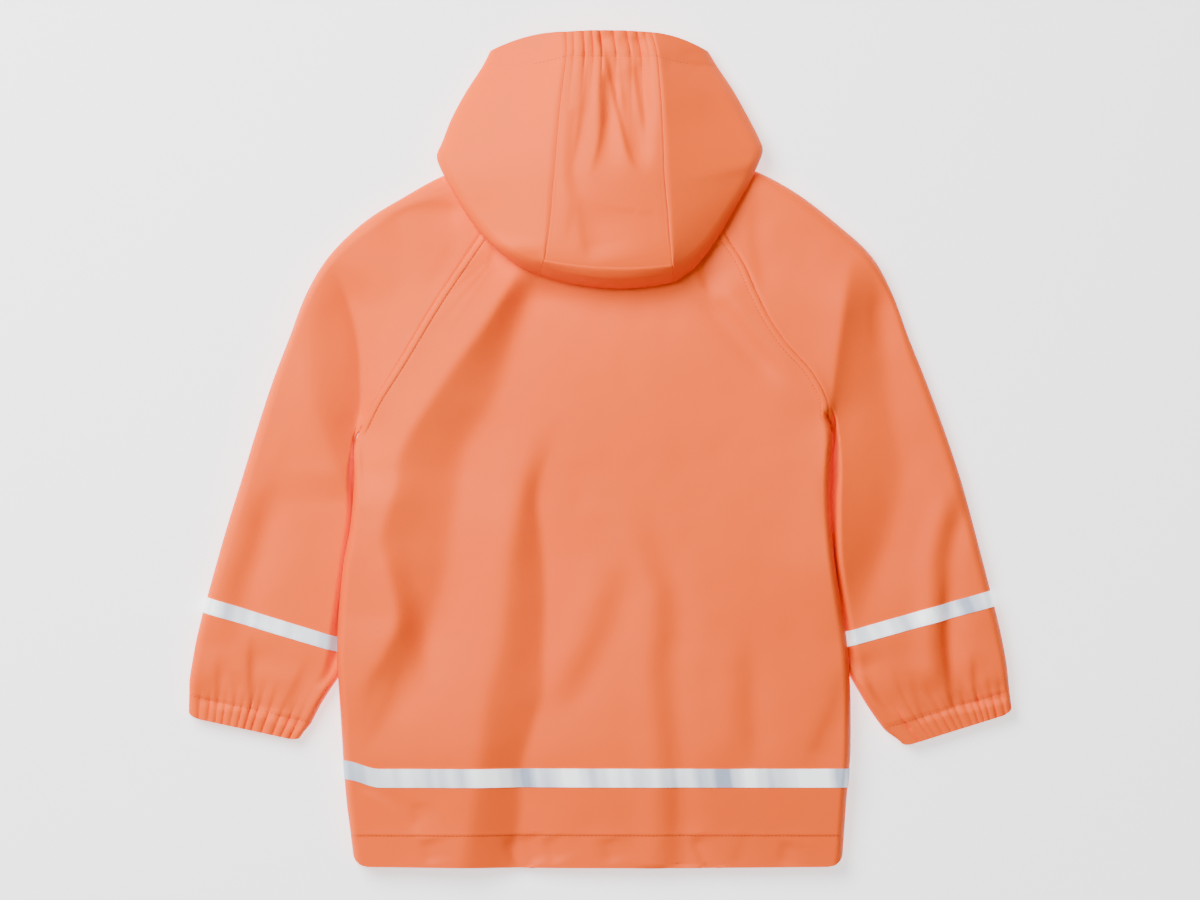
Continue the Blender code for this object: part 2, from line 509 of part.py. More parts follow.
def front_centre_line(count):
    """Centre-front points beside each row: hem to a level below the neck, then up to the neck."""
    neck, hem = np.array(CENTRE_FRONT)
    levels = [row.y for row in BODY_ROWS]
    levels += list(np.linspace(12, neck[1], count - len(levels)))
    t = (np.array(levels) - hem[1]) / (neck[1] - hem[1])
    return hem + (neck - hem) * t[:, None]


def make_front(side, outer):
    """One front. The outer one covers the placket; the inner one is stepped up to lie on it."""
    edge = edge_column(side, FRONT_RAGLAN)
    across = 1 if side == "left" else -1
    centre = front_centre_line(len(edge)) + [across * PLACKET_WIDTH / 2, 0]
    step = TAPE_LIFT if outer else TAPE_LIFT + WALL + GAP
    rows = []
    last = len(edge) - 1
    for k, (start, end) in enumerate(zip(edge, centre)):
        width = np.linalg.norm(end - start)
        placket = [width - PLACKET_WIDTH - PLACKET_STEP, width - PLACKET_WIDTH - 1, width]
        middle = np.linspace(EDGE_ROLL, placket[0], FRONT_CELLS + 1)[1:-1]
        distances = np.concatenate([EDGE_ROLL * ROLL_STEPS, middle, placket])
        far = np.full(len(distances), RISE_REACH)
        from_sides = (distances, far) if side == "left" else (far, distances)
        plan = levelled(between(start, end, distances), k, *from_sides)
        if k > last - NECK_ROWS:
            fractions = distances / width
            neck = along(FRONT_NECK[side][:-1] + [tuple(centre[-1])], fractions)
            curve = neck - (edge[-1] + (centre[-1] - edge[-1]) * fractions[:, None])
            plan = plan + curve * (1 - (last - k) / NECK_ROWS)
        height = lower(plan)
        height[-2:] = FLOOR + step
        if k in BODY_TAPE:
            height[:-2] = np.maximum(height[:-2], FLOOR + TAPE_LIFT)
        if k == last:
            height += NECK_LIFT
        rows.append(np.column_stack([plan, height])[::-1])
    return Cloth(rows if side == "left" else [row[::-1] for row in rows])


def sleeve_plan(section, seam, share):
    """Plan points of one sleeve section, inner edge to outer edge, and how far along it each is.

    A share of the raglan seam's own curve and spacing is left in the section.
    """
    inner = np.array([section.inner_x, section.inner_y])
    outer = np.array([section.outer_x, section.outer_y])
    width = np.linalg.norm(outer - inner)
    roll = section.roll
    middle = np.linspace(roll, width - roll, SLEEVE_CELLS + 1)[1:-1]
    distances = np.concatenate([[0, 0.3 * roll, roll], middle, [width - roll, width - 0.3 * roll, width]])
    if section.gather:
        steps = np.arange(len(distances))
        distances = np.interp(np.arange(0, len(distances) - 0.75, 0.5), steps, distances)
    if share == 0:
        return between(inner, outer, distances), distances
    chord = seam[-1] - seam[0]
    length = np.linalg.norm(chord)
    run = (seam - seam[0]) @ chord / length
    bulge = (seam - seam[0]) @ [chord[1], -chord[0]] / length
    distances = distances + (run * width / length - distances) * share
    aside = np.array([outer[1] - inner[1], inner[0] - outer[0]]) / width
    offset = share * np.interp(distances * length / width, run, bulge)
    return between(inner, outer, distances) + aside * offset[:, None], distances


def sleeve_seam(side, raglan):
    """Plan points of a raglan seam and the bit of neck seam beyond it, underarm to shoulder."""
    seam = along(raglan[side], RAGLAN_STATIONS)
    neck_side = np.array(NECK_SIDE[side])
    return np.vstack([seam, (seam[-1] + neck_side) / 2, neck_side])


def sleeve_heights(section, plan, distances, width, layer):
    """Heights of one layer of a section, from its edges inwards."""
    inner_way, outer_way = distances, width - distances
    if layer == "top":
        crown = section.crown + folded(plan, SLEEVE_FOLDS) - underarm_dip(plan)
        crown = FREE_HEIGHT + (crown - FREE_HEIGHT) * rounded(outer_way, section.roll)
        lip = section.inner_z + SLEEVE_LIP * section.tuck * rounded(inner_way, INNER_ROLL)
        free = rounded(inner_way, section.roll)
        tucked = eased((inner_way - INNER_CLIMB[0]) / (INNER_CLIMB[1] - INNER_CLIMB[0]))
        own = lip + (crown - lip) * (free + (tucked - free) * section.tuck)
        share = section.body ** (1 + 2 * np.exp(-inner_way / BODY_REACH))
        return own + (upper(plan) - own) * share
    own = FLOOR + (section.inner_z - FLOOR) * (1 - rounded(inner_way, UNDER_SHARE * section.roll))
    outer_rise = (FREE_HEIGHT - FLOOR) * (1 - rounded(outer_way, UNDER_SHARE * section.roll))
    own = np.maximum(own, FLOOR + outer_rise)
    own = own + (lower(plan) - own) * section.body
    return np.maximum(own, FLOOR + section.lift * TAPE_LIFT)


def make_sleeve(side):
    """One sleeve as closed rings, whose points run round the top from the inner edge and back below."""
    seams = {"top": sleeve_seam(side, BACK_RAGLAN), "under": sleeve_seam(side, FRONT_RAGLAN)}
    before_cuff, cuff = SLEEVE_SECTIONS[side][-2:]
    back = np.array([before_cuff.outer_x - cuff.outer_x, before_cuff.outer_y - cuff.outer_y])
    rings = []
    for s, section in enumerate(SLEEVE_SECTIONS[side]):
        layers = {}
        for layer, seam in seams.items():
            plan, distances = sleeve_plan(section, seam, max(0, 1 - s / FAN_SECTIONS)**2)
            width = distances[-1]
            plan[0, 0] += section.reach if side == "left" else -section.reach
            if s == 0:
                plan[1:] = seam[1:]
            heights = sleeve_heights(section, plan, distances, width, layer)
            heights[0], heights[-1] = section.inner_z, FREE_HEIGHT
            if s == 0 and layer == "under":
                heights[-3] += NECK_LIFT
                heights[-2] = (heights[-3] + heights[-1]) / 2
            from_edge = np.minimum(distances, width - distances)
            if section.gather:
                calm = section.gather * rounded(from_edge, GATHER_CALM)
                wave = calm * np.where(np.arange(len(plan)) % 2, 1, -1)
                heights = heights + (wave if layer == "top" else wave + calm)
            if section is cuff:
                corner = CUFF_CORNER * (1 - rounded(from_edge, GATHER_CALM))
                plan = plan + back / np.linalg.norm(back) * corner[:, None]
            layers[layer] = np.column_stack([plan, heights])
        ring = np.vstack([layers["top"], layers["under"][-2:0:-1]])
        rings.append(ring if side == "left" else ring[::-1])
    return Cloth(rings, closed=True)


def hood_side_row(row):
    """One row of a hood side: seam, over the outer fold, and round below to the neck seam."""
    seam = np.array([row.seam_x, row.seam_y])
    fold = np.array([row.fold_x, row.fold_y])
    length = np.linalg.norm(fold - seam)
    reach = min(row.roll, 0.6 * length)
    near = list(reach * ROLL_STEPS)
    far = list(np.linspace(reach, length, HOOD_TOP_CELLS + 1)[1:])
    distances = np.array(list(reversed(near + far)))
    t = 1 - distances / length
    plan = seam + (fold - seam) * t[:, None]
    plan[:, 1] += row.bow * 4 * t * (1 - t)
    line = row.seam_z + (row.fold_z + row.rise - row.seam_z) * t**1.2
    heights = row.fold_z + (line - row.fold_z) * rounded(distances, row.roll)
    top = np.column_stack([plan, heights])
    neck = np.array([row.neck_x, row.neck_y])
    bend = np.array([row.bend_x, row.bend_y])
    to_bend, to_neck = np.linalg.norm(bend - fold), np.linalg.norm(neck - bend)
    reach = min(HOOD_UNDER_ROLL, 0.3 * (to_bend + to_neck))
    steps = np.concatenate([reach * ROLL_STEPS[1:3],
                            np.linspace(reach, to_bend, HOOD_UNDER_CELLS)[:-1],
                            to_bend + np.linspace(0, to_neck, HOOD_UNDER_CELLS)])
    knots = np.array([fold, bend, neck])
    plan = np.column_stack([np.interp(steps, [0, to_bend, to_bend + to_neck], axis) for axis in knots.T])
    resting = FLOOR + (upper(plan) + HOOD_CLEARANCE - FLOOR) * row.over
    heights = row.fold_z + (resting - row.fold_z) * rounded(steps, reach)
    heights = np.maximum(heights, resting) if row.over == 1 else heights
    if row.over == 1:
        heights[-1] = upper(plan[-1:])[0] + NECK_LIFT
    elif row.over == 0:
        to_centre = np.array(NECK_CENTRE) - neck
        plan[-1] += to_centre / np.linalg.norm(to_centre) * GAP
    else:
        heights[-1] = FREE_HEIGHT - 0.5
    return np.vstack([top, np.column_stack([plan, heights])])


def make_hood_side(side):
    rows = [hood_side_row(row) for row in HOOD_ROWS[side]]
    return Cloth(rows if side == "left" else [row[::-1] for row in rows])


def make_hood_centre(left, right):
    """The strip between the two hood seams, whose points are those of the two sides."""
    left_seam = [row[0] for row in left.rows] + list(left.rows[-1][1:])
    right_seam = [row[-1] for row in right.rows] + list(right.rows[-1][::-1][1:])
    top_rows = len(left.rows)
    fold_row = top_rows + HOOD_TOP_CELLS + 2
    rows = []
    for k, (start, end) in enumerate(zip(left_seam, right_seam)):
        gathered = k < GATHERED_ROWS
        cells = CENTRE_CELLS * (2 if gathered else 1)
        t = np.linspace(0, 1, cells + 1)
        row = start + (end - start) * t[:, None]
        arch = 4 * t * (1 - t)
        bow = CENTRE_BOW * eased((k - 4) / (fold_row - 5)) if k <= fold_row else \
            CENTRE_BOW + (NECK_BOW - CENTRE_BOW) * eased((k - fold_row) / (len(left_seam) - 1 - fold_row))
        row[:, 1] -= arch * bow - (1.5 * arch if k == 0 else 0)
        if k < fold_row:
            row[:, 2] += arch * CENTRE_BULGE + folded(row, CENTRE_TROUGHS) * eased(6 * np.minimum(t, 1 - t))
        if gathered:
            wave = CENTRE_GATHER * np.where(np.arange(cells + 1) % 2, -1, 1)
            row[:, 2] += wave * eased(8 * np.minimum(t, 1 - t))
        if k > fold_row:
            resting = upper(row) + HOOD_CLEARANCE
            row[:, 2] = np.where(arch > 0, np.maximum(row[:, 2], resting), row[:, 2])
        rows.append(row)
    last = rows[-1]
    last[:, 2] = upper(last) + NECK_LIFT
    return Cloth(rows[::-1])


def join_sides(back, front, side):
    """Gives back and front one edge at the side seam, with the clearance between them."""
    column, inner = (0, 1) if side == "left" else (-1, -2)
    front_column, front_inner = (-1, -2) if side == "left" else (0, 1)
    rows = range(len(BODY_ROWS) + 1)
    back.share_normals([(k, column) for k in rows], front, [(k, front_column) for k in rows])
    back.set_back([(k, column) for k in rows], [(k, inner) for k in rows])
    front.set_back([(k, front_column) for k in rows], [(k, front_inner) for k in rows])


def join_sleeve(panel, column, inner, sleeve, numbers):
    """Gives a body panel and a sleeve one edge at the raglan seam. Numbers are those of the ring."""
    rows = range(len(BODY_ROWS) + 1, len(BODY_ROWS) + len(RAGLAN_STATIONS))
    places, ring = [(k, column) for k in rows], [(0, number) for number in numbers]
    panel.share_normals(places, sleeve, ring)
    panel.set_back(places, [(k, inner) for k in rows])
    sleeve.set_back(ring, [(1, number) for number in numbers])


def ring_numbers(side, layer):
    """Numbers of a sleeve ring's points at the raglan stations beyond the underarm."""
    stations = np.arange(1, len(RAGLAN_STATIONS))
    around = 2 * (len(RAGLAN_STATIONS) + 1)
    from_inner = stations if layer == "top" else around - stations
    return list(from_inner if side == "left" else around - 1 - from_inner)


def join_hood(centre, hood_side, side):
    """Gives the hood's centre strip and a side one edge at their seam."""
    column, inner, step = (0, 1, 1) if side == "left" else (-1, -2, -1)
    last = len(hood_side.rows) - 1
    count = len(hood_side.rows[0])
    seam = [(row, column) for row in range(last + 1)] + [(last, column + step * i) for i in range(1, count)]
    inside = [(row, inner) for row in range(last)] + [(last - 1, inner)]
    inside += [(last - 1, column + step * i) for i in range(1, count)]
    strip = [(row, column) for row in reversed(range(len(centre.rows)))]
    centre.share_normals(strip, hood_side, seam)
    centre.set_back(strip, [(row, inner) for row, _ in strip])
    hood_side.set_back(seam, inside)


def make_stud(number, x, y):
    """The cap of a press stud, under the outer placket."""
    shape = bmesh.new()
    bmesh.ops.create_cone(shape, cap_ends=True, segments=24, radius1=STUD_RADIUS, radius2=STUD_RADIUS,
                          depth=STUD_THICKNESS)
    points = np.array([vertex.co for vertex in shape.verts]) + [x, y, STUD_THICKNESS / 2]
    faces = [tuple(vertex.index for vertex in face.verts) for face in shape.faces]
    shape.free()
    return jacket_object(f"stud_{number}", points, faces, STUD_ORANGE, 0.35)


def main():
    for old in list(bpy.data.objects):
        bpy.data.objects.remove(old)
    collection = bpy.data.collections.new("rain_jacket")
    bpy.context.scene.collection.children.link(collection)

    back = make_back()
    fronts = {"left": make_front("left", True), "right": make_front("right", False)}
    sleeves = {side: make_sleeve(side) for side in ("left", "right")}
    hood_sides = {side: make_hood_side(side) for side in ("left", "right")}
    hood_centre = make_hood_centre(hood_sides["left"], hood_sides["right"])
    for side in ("left", "right"):
        edge, inner = (0, 1) if side == "left" else (-1, -2)
        join_sides(back, fronts[side], side)
        join_sleeve(back, edge, inner, sleeves[side], ring_numbers(side, "top"))
        join_sleeve(fronts[side], -1 - edge, -1 - inner, sleeves[side], ring_numbers(side, "under"))
        join_hood(hood_centre, hood_sides[side], side)

    back.loft("back", WALL, CORAL, 0.45)
    hood_centre.loft("hood_centre", WALL, CORAL, 0.45)
    on_panel = (WALL + TAPE_WALL) / 2 + GAP
    back.strip(BODY_TAPE).loft("tape_back", TAPE_WALL, SILVER, 0.35, on_panel)
    for side in ("left", "right"):
        fronts[side].loft("front_" + side, WALL, CORAL, 0.45)
        sleeves[side].loft("sleeve_" + side, WALL, CORAL, 0.45)
        hood_sides[side].loft("hood_side_" + side, WALL, CORAL, 0.45)
        columns = slice(2, None) if side == "left" else slice(None, -2)
        fronts[side].strip(BODY_TAPE, columns).loft("tape_front_" + side, TAPE_WALL, SILVER, 0.35, on_panel)
        sleeves[side].strip(SLEEVE_TAPE).loft("tape_sleeve_" + side, TAPE_WALL, SILVER, 0.35, on_panel)

    neck, hem = np.array(CENTRE_FRONT)
    for number, t in enumerate(np.linspace(*STUD_SPAN, STUD_COUNT), 1):
        make_stud(number, *(neck + (hem - neck) * t))


main()
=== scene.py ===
"""Looks of a child's hooded rain jacket of coated fabric, lying flat on its front with the back up.

The tables hold millimetres on the surface it lies on, hood towards +Y and the wearer's left at -X.
"""

from collections import namedtuple

import bpy
import numpy as np
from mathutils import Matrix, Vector, noise


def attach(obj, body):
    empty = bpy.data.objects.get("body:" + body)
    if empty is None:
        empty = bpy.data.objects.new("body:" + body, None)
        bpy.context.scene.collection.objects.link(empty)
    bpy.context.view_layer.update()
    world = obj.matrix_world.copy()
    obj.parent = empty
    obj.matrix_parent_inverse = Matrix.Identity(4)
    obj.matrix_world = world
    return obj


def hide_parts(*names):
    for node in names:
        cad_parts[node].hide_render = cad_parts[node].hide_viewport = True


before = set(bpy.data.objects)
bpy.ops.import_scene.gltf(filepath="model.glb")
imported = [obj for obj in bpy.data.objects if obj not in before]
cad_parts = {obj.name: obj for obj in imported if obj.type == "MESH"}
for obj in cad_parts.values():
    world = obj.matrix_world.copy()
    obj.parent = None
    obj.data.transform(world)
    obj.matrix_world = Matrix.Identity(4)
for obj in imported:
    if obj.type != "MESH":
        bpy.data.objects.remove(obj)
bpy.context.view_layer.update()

# --- The back -----------------------------------------------------------------------------------
# One cut piece of polyurethane-coated knit, from the hem up to the neck between the raglan seams.
# It lies on the two fronts with air between, and pulls into long folds from the neck to the hem.

SIDES = ("left", "right")
INWARD = {"left": 1, "right": -1}     # along X, from a side edge to the middle
WALL = 1.2
FLOOR = WALL / 2                      # middle height of cloth that lies on the table
ORIGIN = np.array([0.1, -0.7, 0])     # the frame's origin, in the tables' millimetres
HEM_Y, HEM_STITCH_Y = -348.0, -321.8
HEM_SAG, HEM_SAG_REACH, HEM_CORNER = 1.2, 3.0, 11.0
HEM_STEP, HEM_STEP_START, HEM_STEP_WIDTH, HEM_STEP_REACH = 0.7, -0.3, 1.4, 8.0
NECK_THICKNESS, BODY_THICKNESS, HEM_THICKNESS = 15.0, 24.0, 17.0
CROWN_START, CROWN_END, CROWN_BLEND = 215.0, -240.0, 110.0
EDGE_ROLL = 6.5
TUCK_HEIGHT, FREE_HEIGHT, UNDERARM_HEIGHT = 13.0, 8.0, 12.0
UNDERARM_DIP, UNDERARM_REACH = 4.0, 26.0
SLEEVE_EXIT, SIDE_BLEND, SIDE_CLIMB = -190.0, 45.0, 18.0
SEAM_BAND, SEAM_BAND_LIFT, SEAM_BAND_STEP = 5.0, 0.9, 1.6     # turning stitched down beside a raglan seam
STITCH_SINK, STITCH_DENT, CASING_DENT = 0.7, 0.6, 0.8         # depth and half widths of a stitch line's dent
GROOVE_DEPTH, GROOVE_WIDTH = 1.5, 0.7
TAPE_LEVELS = (-281.5, -266.0)
RISE_REACH = 30.0                     # how far in from a side edge its rows rise
ROW_STEP, RAGLAN_ROWS, MIDDLE_CELLS = 2.4, 104, 132
STITCH_ROWS, HEM_EDGE_ROWS = (-326, -317, 0.8), (-347, -345.5)     # rows at the hem's stitches and edge
SHARP_ANGLE = 1.1
CURVE_STEPS, PATH_STEPS, OUTLINE_POINTS = 12, 10, 200   # how finely tabled lines are smoothed
EDGE_DISTANCES = np.array([0, 0.4, 1, 1.8, 2.8, 3.8, 4.6, 5.2, 5.8, 6.4, 7.2, 8.4, 10, 12])

BODY_SIDE = {
    "left": [(-199.6, 15.8), (-203, 8), (-204.6, -4), (-204.4, -26), (-207.5, -63), (-213, -93),
             (-216.5, -126), (-218.5, -168), (-216.5, -209), (-213.5, -259), (-211, -292), (-207.5, -320),
             (-204, -349)],
    "right": [(189.2, 27.5), (192.2, 19), (193.2, 7), (192, -8), (191, -42), (194, -84), (200, -126),
              (205, -160), (208, -200), (208.5, -246), (207.5, -266), (205, -292), (203, -320),
              (201, -349)],
}
BACK_RAGLAN = {
    "left": [(-199.6, 15.8), (-186, 42.5), (-165.8, 74.2), (-135, 125), (-99.2, 178.3), (-65.8, 227.5)],
    "right": [(189.2, 27.5), (187.3, 43), (175.5, 64.6), (155.4, 87.5), (140.8, 109.2), (129.2, 132.5),
              (118.1, 156.7), (101.7, 181.7), (73.3, 226.7)],
}
RAGLAN_STATIONS = (0, 0.045, 0.1, 0.17, 0.27, 0.39, 0.51, 0.63, 0.75, 0.88, 1)
NECK_STATION = 5      # station above which the body's rows bend towards the neck seam
BACK_NECK = [(-65.8, 227.5), (-40, 218.3), (4.2, 215), (48.3, 218.3), (73.3, 226.7)]
# Shoulder and outer edge of the sleeves, neck to cuff
OUTER_EDGE = {
    "left": [(-83.3, 244.2), (-129, 228), (-162.5, 210), (-196, 189), (-225, 161), (-244, 130),
             (-258.5, 92.5), (-272.5, 56), (-286.5, 13), (-299, -28), (-312, -70), (-327, -123.5),
             (-330.5, -136), (-336, -159), (-339.5, -178), (-341.7, -192.5), (-342, -205),
             (-342.5, -223.5)],
    "right": [(93.3, 244.2), (131, 230.5), (164, 212.5), (196, 188), (225, 161.5), (242.5, 131),
              (257.5, 91), (271.5, 56), (287.5, 13), (301, -28), (312.5, -70), (325, -118), (328.3, -131),
              (333.8, -154), (338, -176), (339.6, -189), (340.8, -201), (343.3, -220)],
}
# How much higher than at the middle a level row is at a side edge: level and rise
RISES = {
    "left": [(-321, 0), (-300, 3), (-281.5, 7), (-266, 7), (-242, 3), (-215, 0), (-18, 0), (0, 7)],
    "right": [(-42, 0), (-18, 4), (0, 18)],
}

# A fold is a soft ridge on the left of its path with a trough on the right, seen along the path
Fold = namedtuple("Fold", "height width fade_in fade_out path")
BODY_FOLDS = [
    (2.2, 12, 0.02, 0.3, [(58, -352), (57, -259), (51, -190), (54, -126), (40, -84), (18, -30)]),
    (2.6, 9, 0.3, 0.3, [(84, 142), (122, 96), (160, 52)]),
]
SLEEVE_FOLDS = [
    (2.6, 12, 0.25, 0.25, [(-300, -170), (-306, -126), (-294, -84), (-278, -20)]),
    (2.6, 9, 0.15, 0.25, [(289, -205), (283, -168), (284, -126), (286, -84), (302, -20)]),
]
SMALL_FOLDS = [
    (1.8, 13, 0.3, 0.3, [(-43.3, -230), (-2.5, -153.3), (18.3, -80)]),
    (1, 12, 0.3, 0.3, [(119.2, -275.8), (118.3, -209.2), (115, -142.5)]),
    (1.2, 10, 0.3, 0.3, [(-141.7, -209.2), (-160, -134.2), (-173.3, -75.8)]),
]
# A facet is a flat side of a large fold: it slants down from its left line to its right one
Facet = namedtuple("Facet", "depth reach soft_left soft_right fade_in fade_out left right")
BODY_FACETS = [
    (20.5, 44, 3, 9, 0.25, 0.1,
     [(-200, -246.7), (-196.7, -200.8), (-180.8, -172.5), (-168.3, -140.8), (-175.8, -102.5),
      (-181.7, -71.7), (-170, -34.2), (-164.2, 0.8), (-126.7, 60), (-94.2, 105), (-66.7, 150),
      (-58.3, 162.5)],
     [(-195, -252.5), (-165, -214.2), (-151.7, -175.8), (-139.2, -134.2), (-127.5, -96.7), (-124.2, -65),
      (-120, -34.2), (-113.3, -0.8), (-90.8, 37.5), (-71.7, 99.2), (-55.8, 140), (-45.8, 155.8)]),
    (17.5, 42, 7, 3, 0.01, 0.3,
     [(-115.8, -363.3), (-111.7, -334.2), (-106.7, -305), (-100.8, -265.8), (-94.2, -209.2),
      (-83.3, -167.5), (-78.3, -125.8), (-75, -92.5), (-67.5, -51.7), (-58.3, -17.5), (-45, 9.2),
      (-36.7, 25.8)],
     [(-75.8, -363.3), (-71.7, -334.2), (-66.7, -300.8), (-65.8, -265.8), (-55.8, -230), (-47.5, -200.8),
      (-47.5, -165.8), (-45.8, -125.8), (-47.5, -92.5), (-50, -67.5), (-52.5, -42.5), (-48.3, -17.5),
      (-39.2, 7.5), (-30, 30.8)]),
]
SLEEVE_FACETS = [
    (16, 32, 9, 2.5, 0.15, 0.2,
     [(-206.7, -46.7), (-223.3, -5), (-238.3, 40.8), (-242.5, 90.8), (-238.3, 132.5), (-231.7, 159.2)],
     [(-199.2, -46.7), (-198.3, -5), (-198.3, 40.8), (-201.7, 90.8), (-211.7, 128.3), (-226.7, 159.2)]),
    (18, 36, 2.5, 9, 0.25, 0.15,
     [(198.3, -167.5), (195, -92.5), (191.7, -25.8), (190.8, 26.7), (194.2, 53.3), (201.7, 110),
      (210.8, 165.8)],
     [(205, -167.5), (223.3, -117.5), (241.7, -63.3), (251.7, -17.5), (244.2, 24.2), (236.7, 80),
      (233.3, 128.3), (220, 169.2)]),
]
# A crease is sharp along its path and sinks on the path's right, to its full depth at its width
Crease = namedtuple("Crease", "depth width softness fade_in fade_out path")
BACK_CREASES = [
    (3.6, 16, 4, 0.1, 0.3, [(-96.7, 167.5), (-83.3, 154.2), (-45.8, 137.5), (8.3, 130), (66.7, 137.5),
                            (101.7, 160.8)]),
    (1.6, 9, 3, 0.3, 0.25, [(154.2, 52.5), (126.7, 82.5), (103.3, 109.2), (90.8, 135.8)]),
    (4, 8, 2, 0.5, 0.05, [(92.5, 119.2), (80.8, 145), (75, 165.8)]),
    (1, 4, 1, 0.5, 0.2, [(-95, 147.5), (-92.5, 161.7), (-90, 174.2)]),
    (1.4, 9, 4, 0.4, 0.4, [(-65, -67.5), (-63.3, -34.2), (-53.3, 4.2), (-28.3, 34.2)]),
    (0.8, 9, 4, 0.4, 0.4, [(-22.5, -59.2), (-23.3, -34.2), (-29.2, -5)]),
    (1.4, 10, 5, 0.3, 0.4, [(123.3, -271.7), (120, -209.2), (120.8, -159.2)]),
    (2.4, 14, 4, 0.2, 0.35, [(170, -264.2), (176.7, -244.2), (191.7, -209.2), (197.5, -171.7)]),
    (1, 6, 2, 0.4, 0.3, [(185, -75.8), (181.7, -42.5), (180.8, -12.5)]),
    (1.4, 11, 3, 0.3, 0.3, [(-203.3, -257.5), (-180, -209.2), (-162.5, -159.2)]),
    (1.3, 5, 1.2, 0.15, 0.3, [(-155.8, -322.5), (-169.2, -302.5), (-183.3, -291.7), (-211.7, -275.8)]),
    (0.8, 5, 1.5, 0.3, 0.2, [(-157.5, -324.2), (-155, -292.5)]),
    (2.2, 5, 0.8, 0.02, 0.3, [(-69.2, -354.2), (-77.5, -336.7), (-83.3, -324.2)]),
    (1.5, 5, 1.2, 0.2, 0.3, [(-56.7, -347.5), (-61.7, -334.2), (-66.7, -322.5)]),
    (1.5, 5, 1.2, 0.2, 0.3, [(-40, -347.5), (-45.8, -334.2), (-50, -324.2)]),
    (1.4, 5, 1.5, 0.3, 0.3, [(-145, -347.5), (-149.2, -324.2)]),
    (2.2, 5, 0.8, 0.02, 0.3, [(85.8, -354.2), (78.3, -334.2), (74.2, -320.8)]),
    (0.7, 6, 2, 0.2, 0.4, [(106.7, -349.2), (116.7, -325.8), (126.7, -302.5)]),
    (0.8, 7, 2, 0.3, 0.4, [(56.7, -325.8), (60, -292.5), (56.7, -263.3)]),
    (1.2, 6, 2, 0.3, 0.3, [(5, -347.5), (0, -324.2)]),
    (1.2, 6, 2, 0.3, 0.3, [(146.7, -347.5), (151.7, -324.2)]),
]
# A wave is slow random unevenness, drawn out along Y where its y_share is under 1
Wave = namedtuple("Wave", "height length y_share seed")
BACK_WAVES = [(0.5, 45, 1, 1.5), (0.25, 18, 1, 4.5)]
HEM_PUCKERS, PUCKER_LEVEL, PUCKER_REACH = [(0.30, 4.5, 0.35, 7.5), (0.18, 9, 0.3, 8.5)], -2.0, 6.0


def refine(table, counts):
    """Rows on a smooth curve through a table's rows, counts of them to each interval, and their places."""
    table = np.asarray(table, float)
    padded = np.vstack([2 * table[0] - table[1], table, 2 * table[-1] - table[-2]])
    rows, places = [], []
    for i, count in enumerate(counts):
        a, b, c, d = padded[i:i + 4]
        t = np.linspace(0, 1, count, endpoint=False)[:, None]
        rows.append((2 * b + (c - a) * t + (2 * a - 5 * b + 4 * c - d) * t**2
                     + (3 * b - a - 3 * c + d) * t**3) / 2)
        places.append(i + t[:, 0])
    return np.vstack(rows + [table[-1:]]), np.concatenate(places + [[len(table) - 1]])


def along(points, fractions):
    """Points at the given fractions of a smooth curve's length; the curve passes through points."""
    fine, _ = refine(points, [CURVE_STEPS] * (len(points) - 1))
    run = np.concatenate([[0], np.cumsum(np.linalg.norm(np.diff(fine, axis=0), axis=1))])
    wanted = np.asarray(fractions, float) * run[-1]
    return np.column_stack([np.interp(wanted, run, column) for column in fine.T])


def offset_from(path, points):
    """Signed distance of each point to a smooth path in plan, positive on its right, and the fraction run."""
    path = along(path, np.linspace(0, 1, PATH_STEPS * len(path)))
    lengths = np.linalg.norm(np.diff(path, axis=0), axis=1)
    starts = np.concatenate([[0], np.cumsum(lengths)])
    points = points[..., :2]
    nearest = np.full(points.shape[:-1], np.inf)
    signed, run = np.zeros(nearest.shape), np.zeros(nearest.shape)
    for a, b, length, start in zip(path[:-1], path[1:], lengths, starts):
        direction = (b - a) / length
        away = points - a
        t = np.clip(away @ direction, 0, length)
        distance = np.linalg.norm(away - t[..., None] * direction, axis=-1)
        side = np.where(direction[1] * away[..., 0] - direction[0] * away[..., 1] < 0, -1.0, 1.0)
        closer = distance < nearest
        nearest = np.where(closer, distance, nearest)
        signed = np.where(closer, side * distance, signed)
        run = np.where(closer, start + t, run)
    return signed, run / starts[-1]


def rounded(distance, reach):
    """0 at an edge, rising in a quarter of an ellipse to 1 where distance is reach."""
    return np.sqrt(1 - np.clip(1 - distance / reach, 0, 1)**2)


def eased(value):
    """0 below 0, 1 above 1, and a smooth S between."""
    value = np.clip(value, 0, 1)
    return value * value * (3 - 2 * value)


def faded(run, form):
    """1 along the middle of a fold, facet or crease, and 0 at its ends."""
    return eased(run / form.fade_in) * eased((1 - run) / form.fade_out)


def softened(distance, softness):
    """Distance where it is positive and 0 where it is negative, with a soft bend between."""
    return (distance + np.sqrt(distance**2 + softness**2)) / 2


def folded(points, folds):
    """Height that soft folds add at points in plan."""
    total = np.zeros(points.shape[:-1])
    for fold in map(Fold._make, folds):
        offset, run = offset_from(fold.path, points)
        ratio = offset / fold.width
        total -= fold.height * faded(run, fold) * ratio * np.exp(0.5 - ratio**2 / 2)
    return total


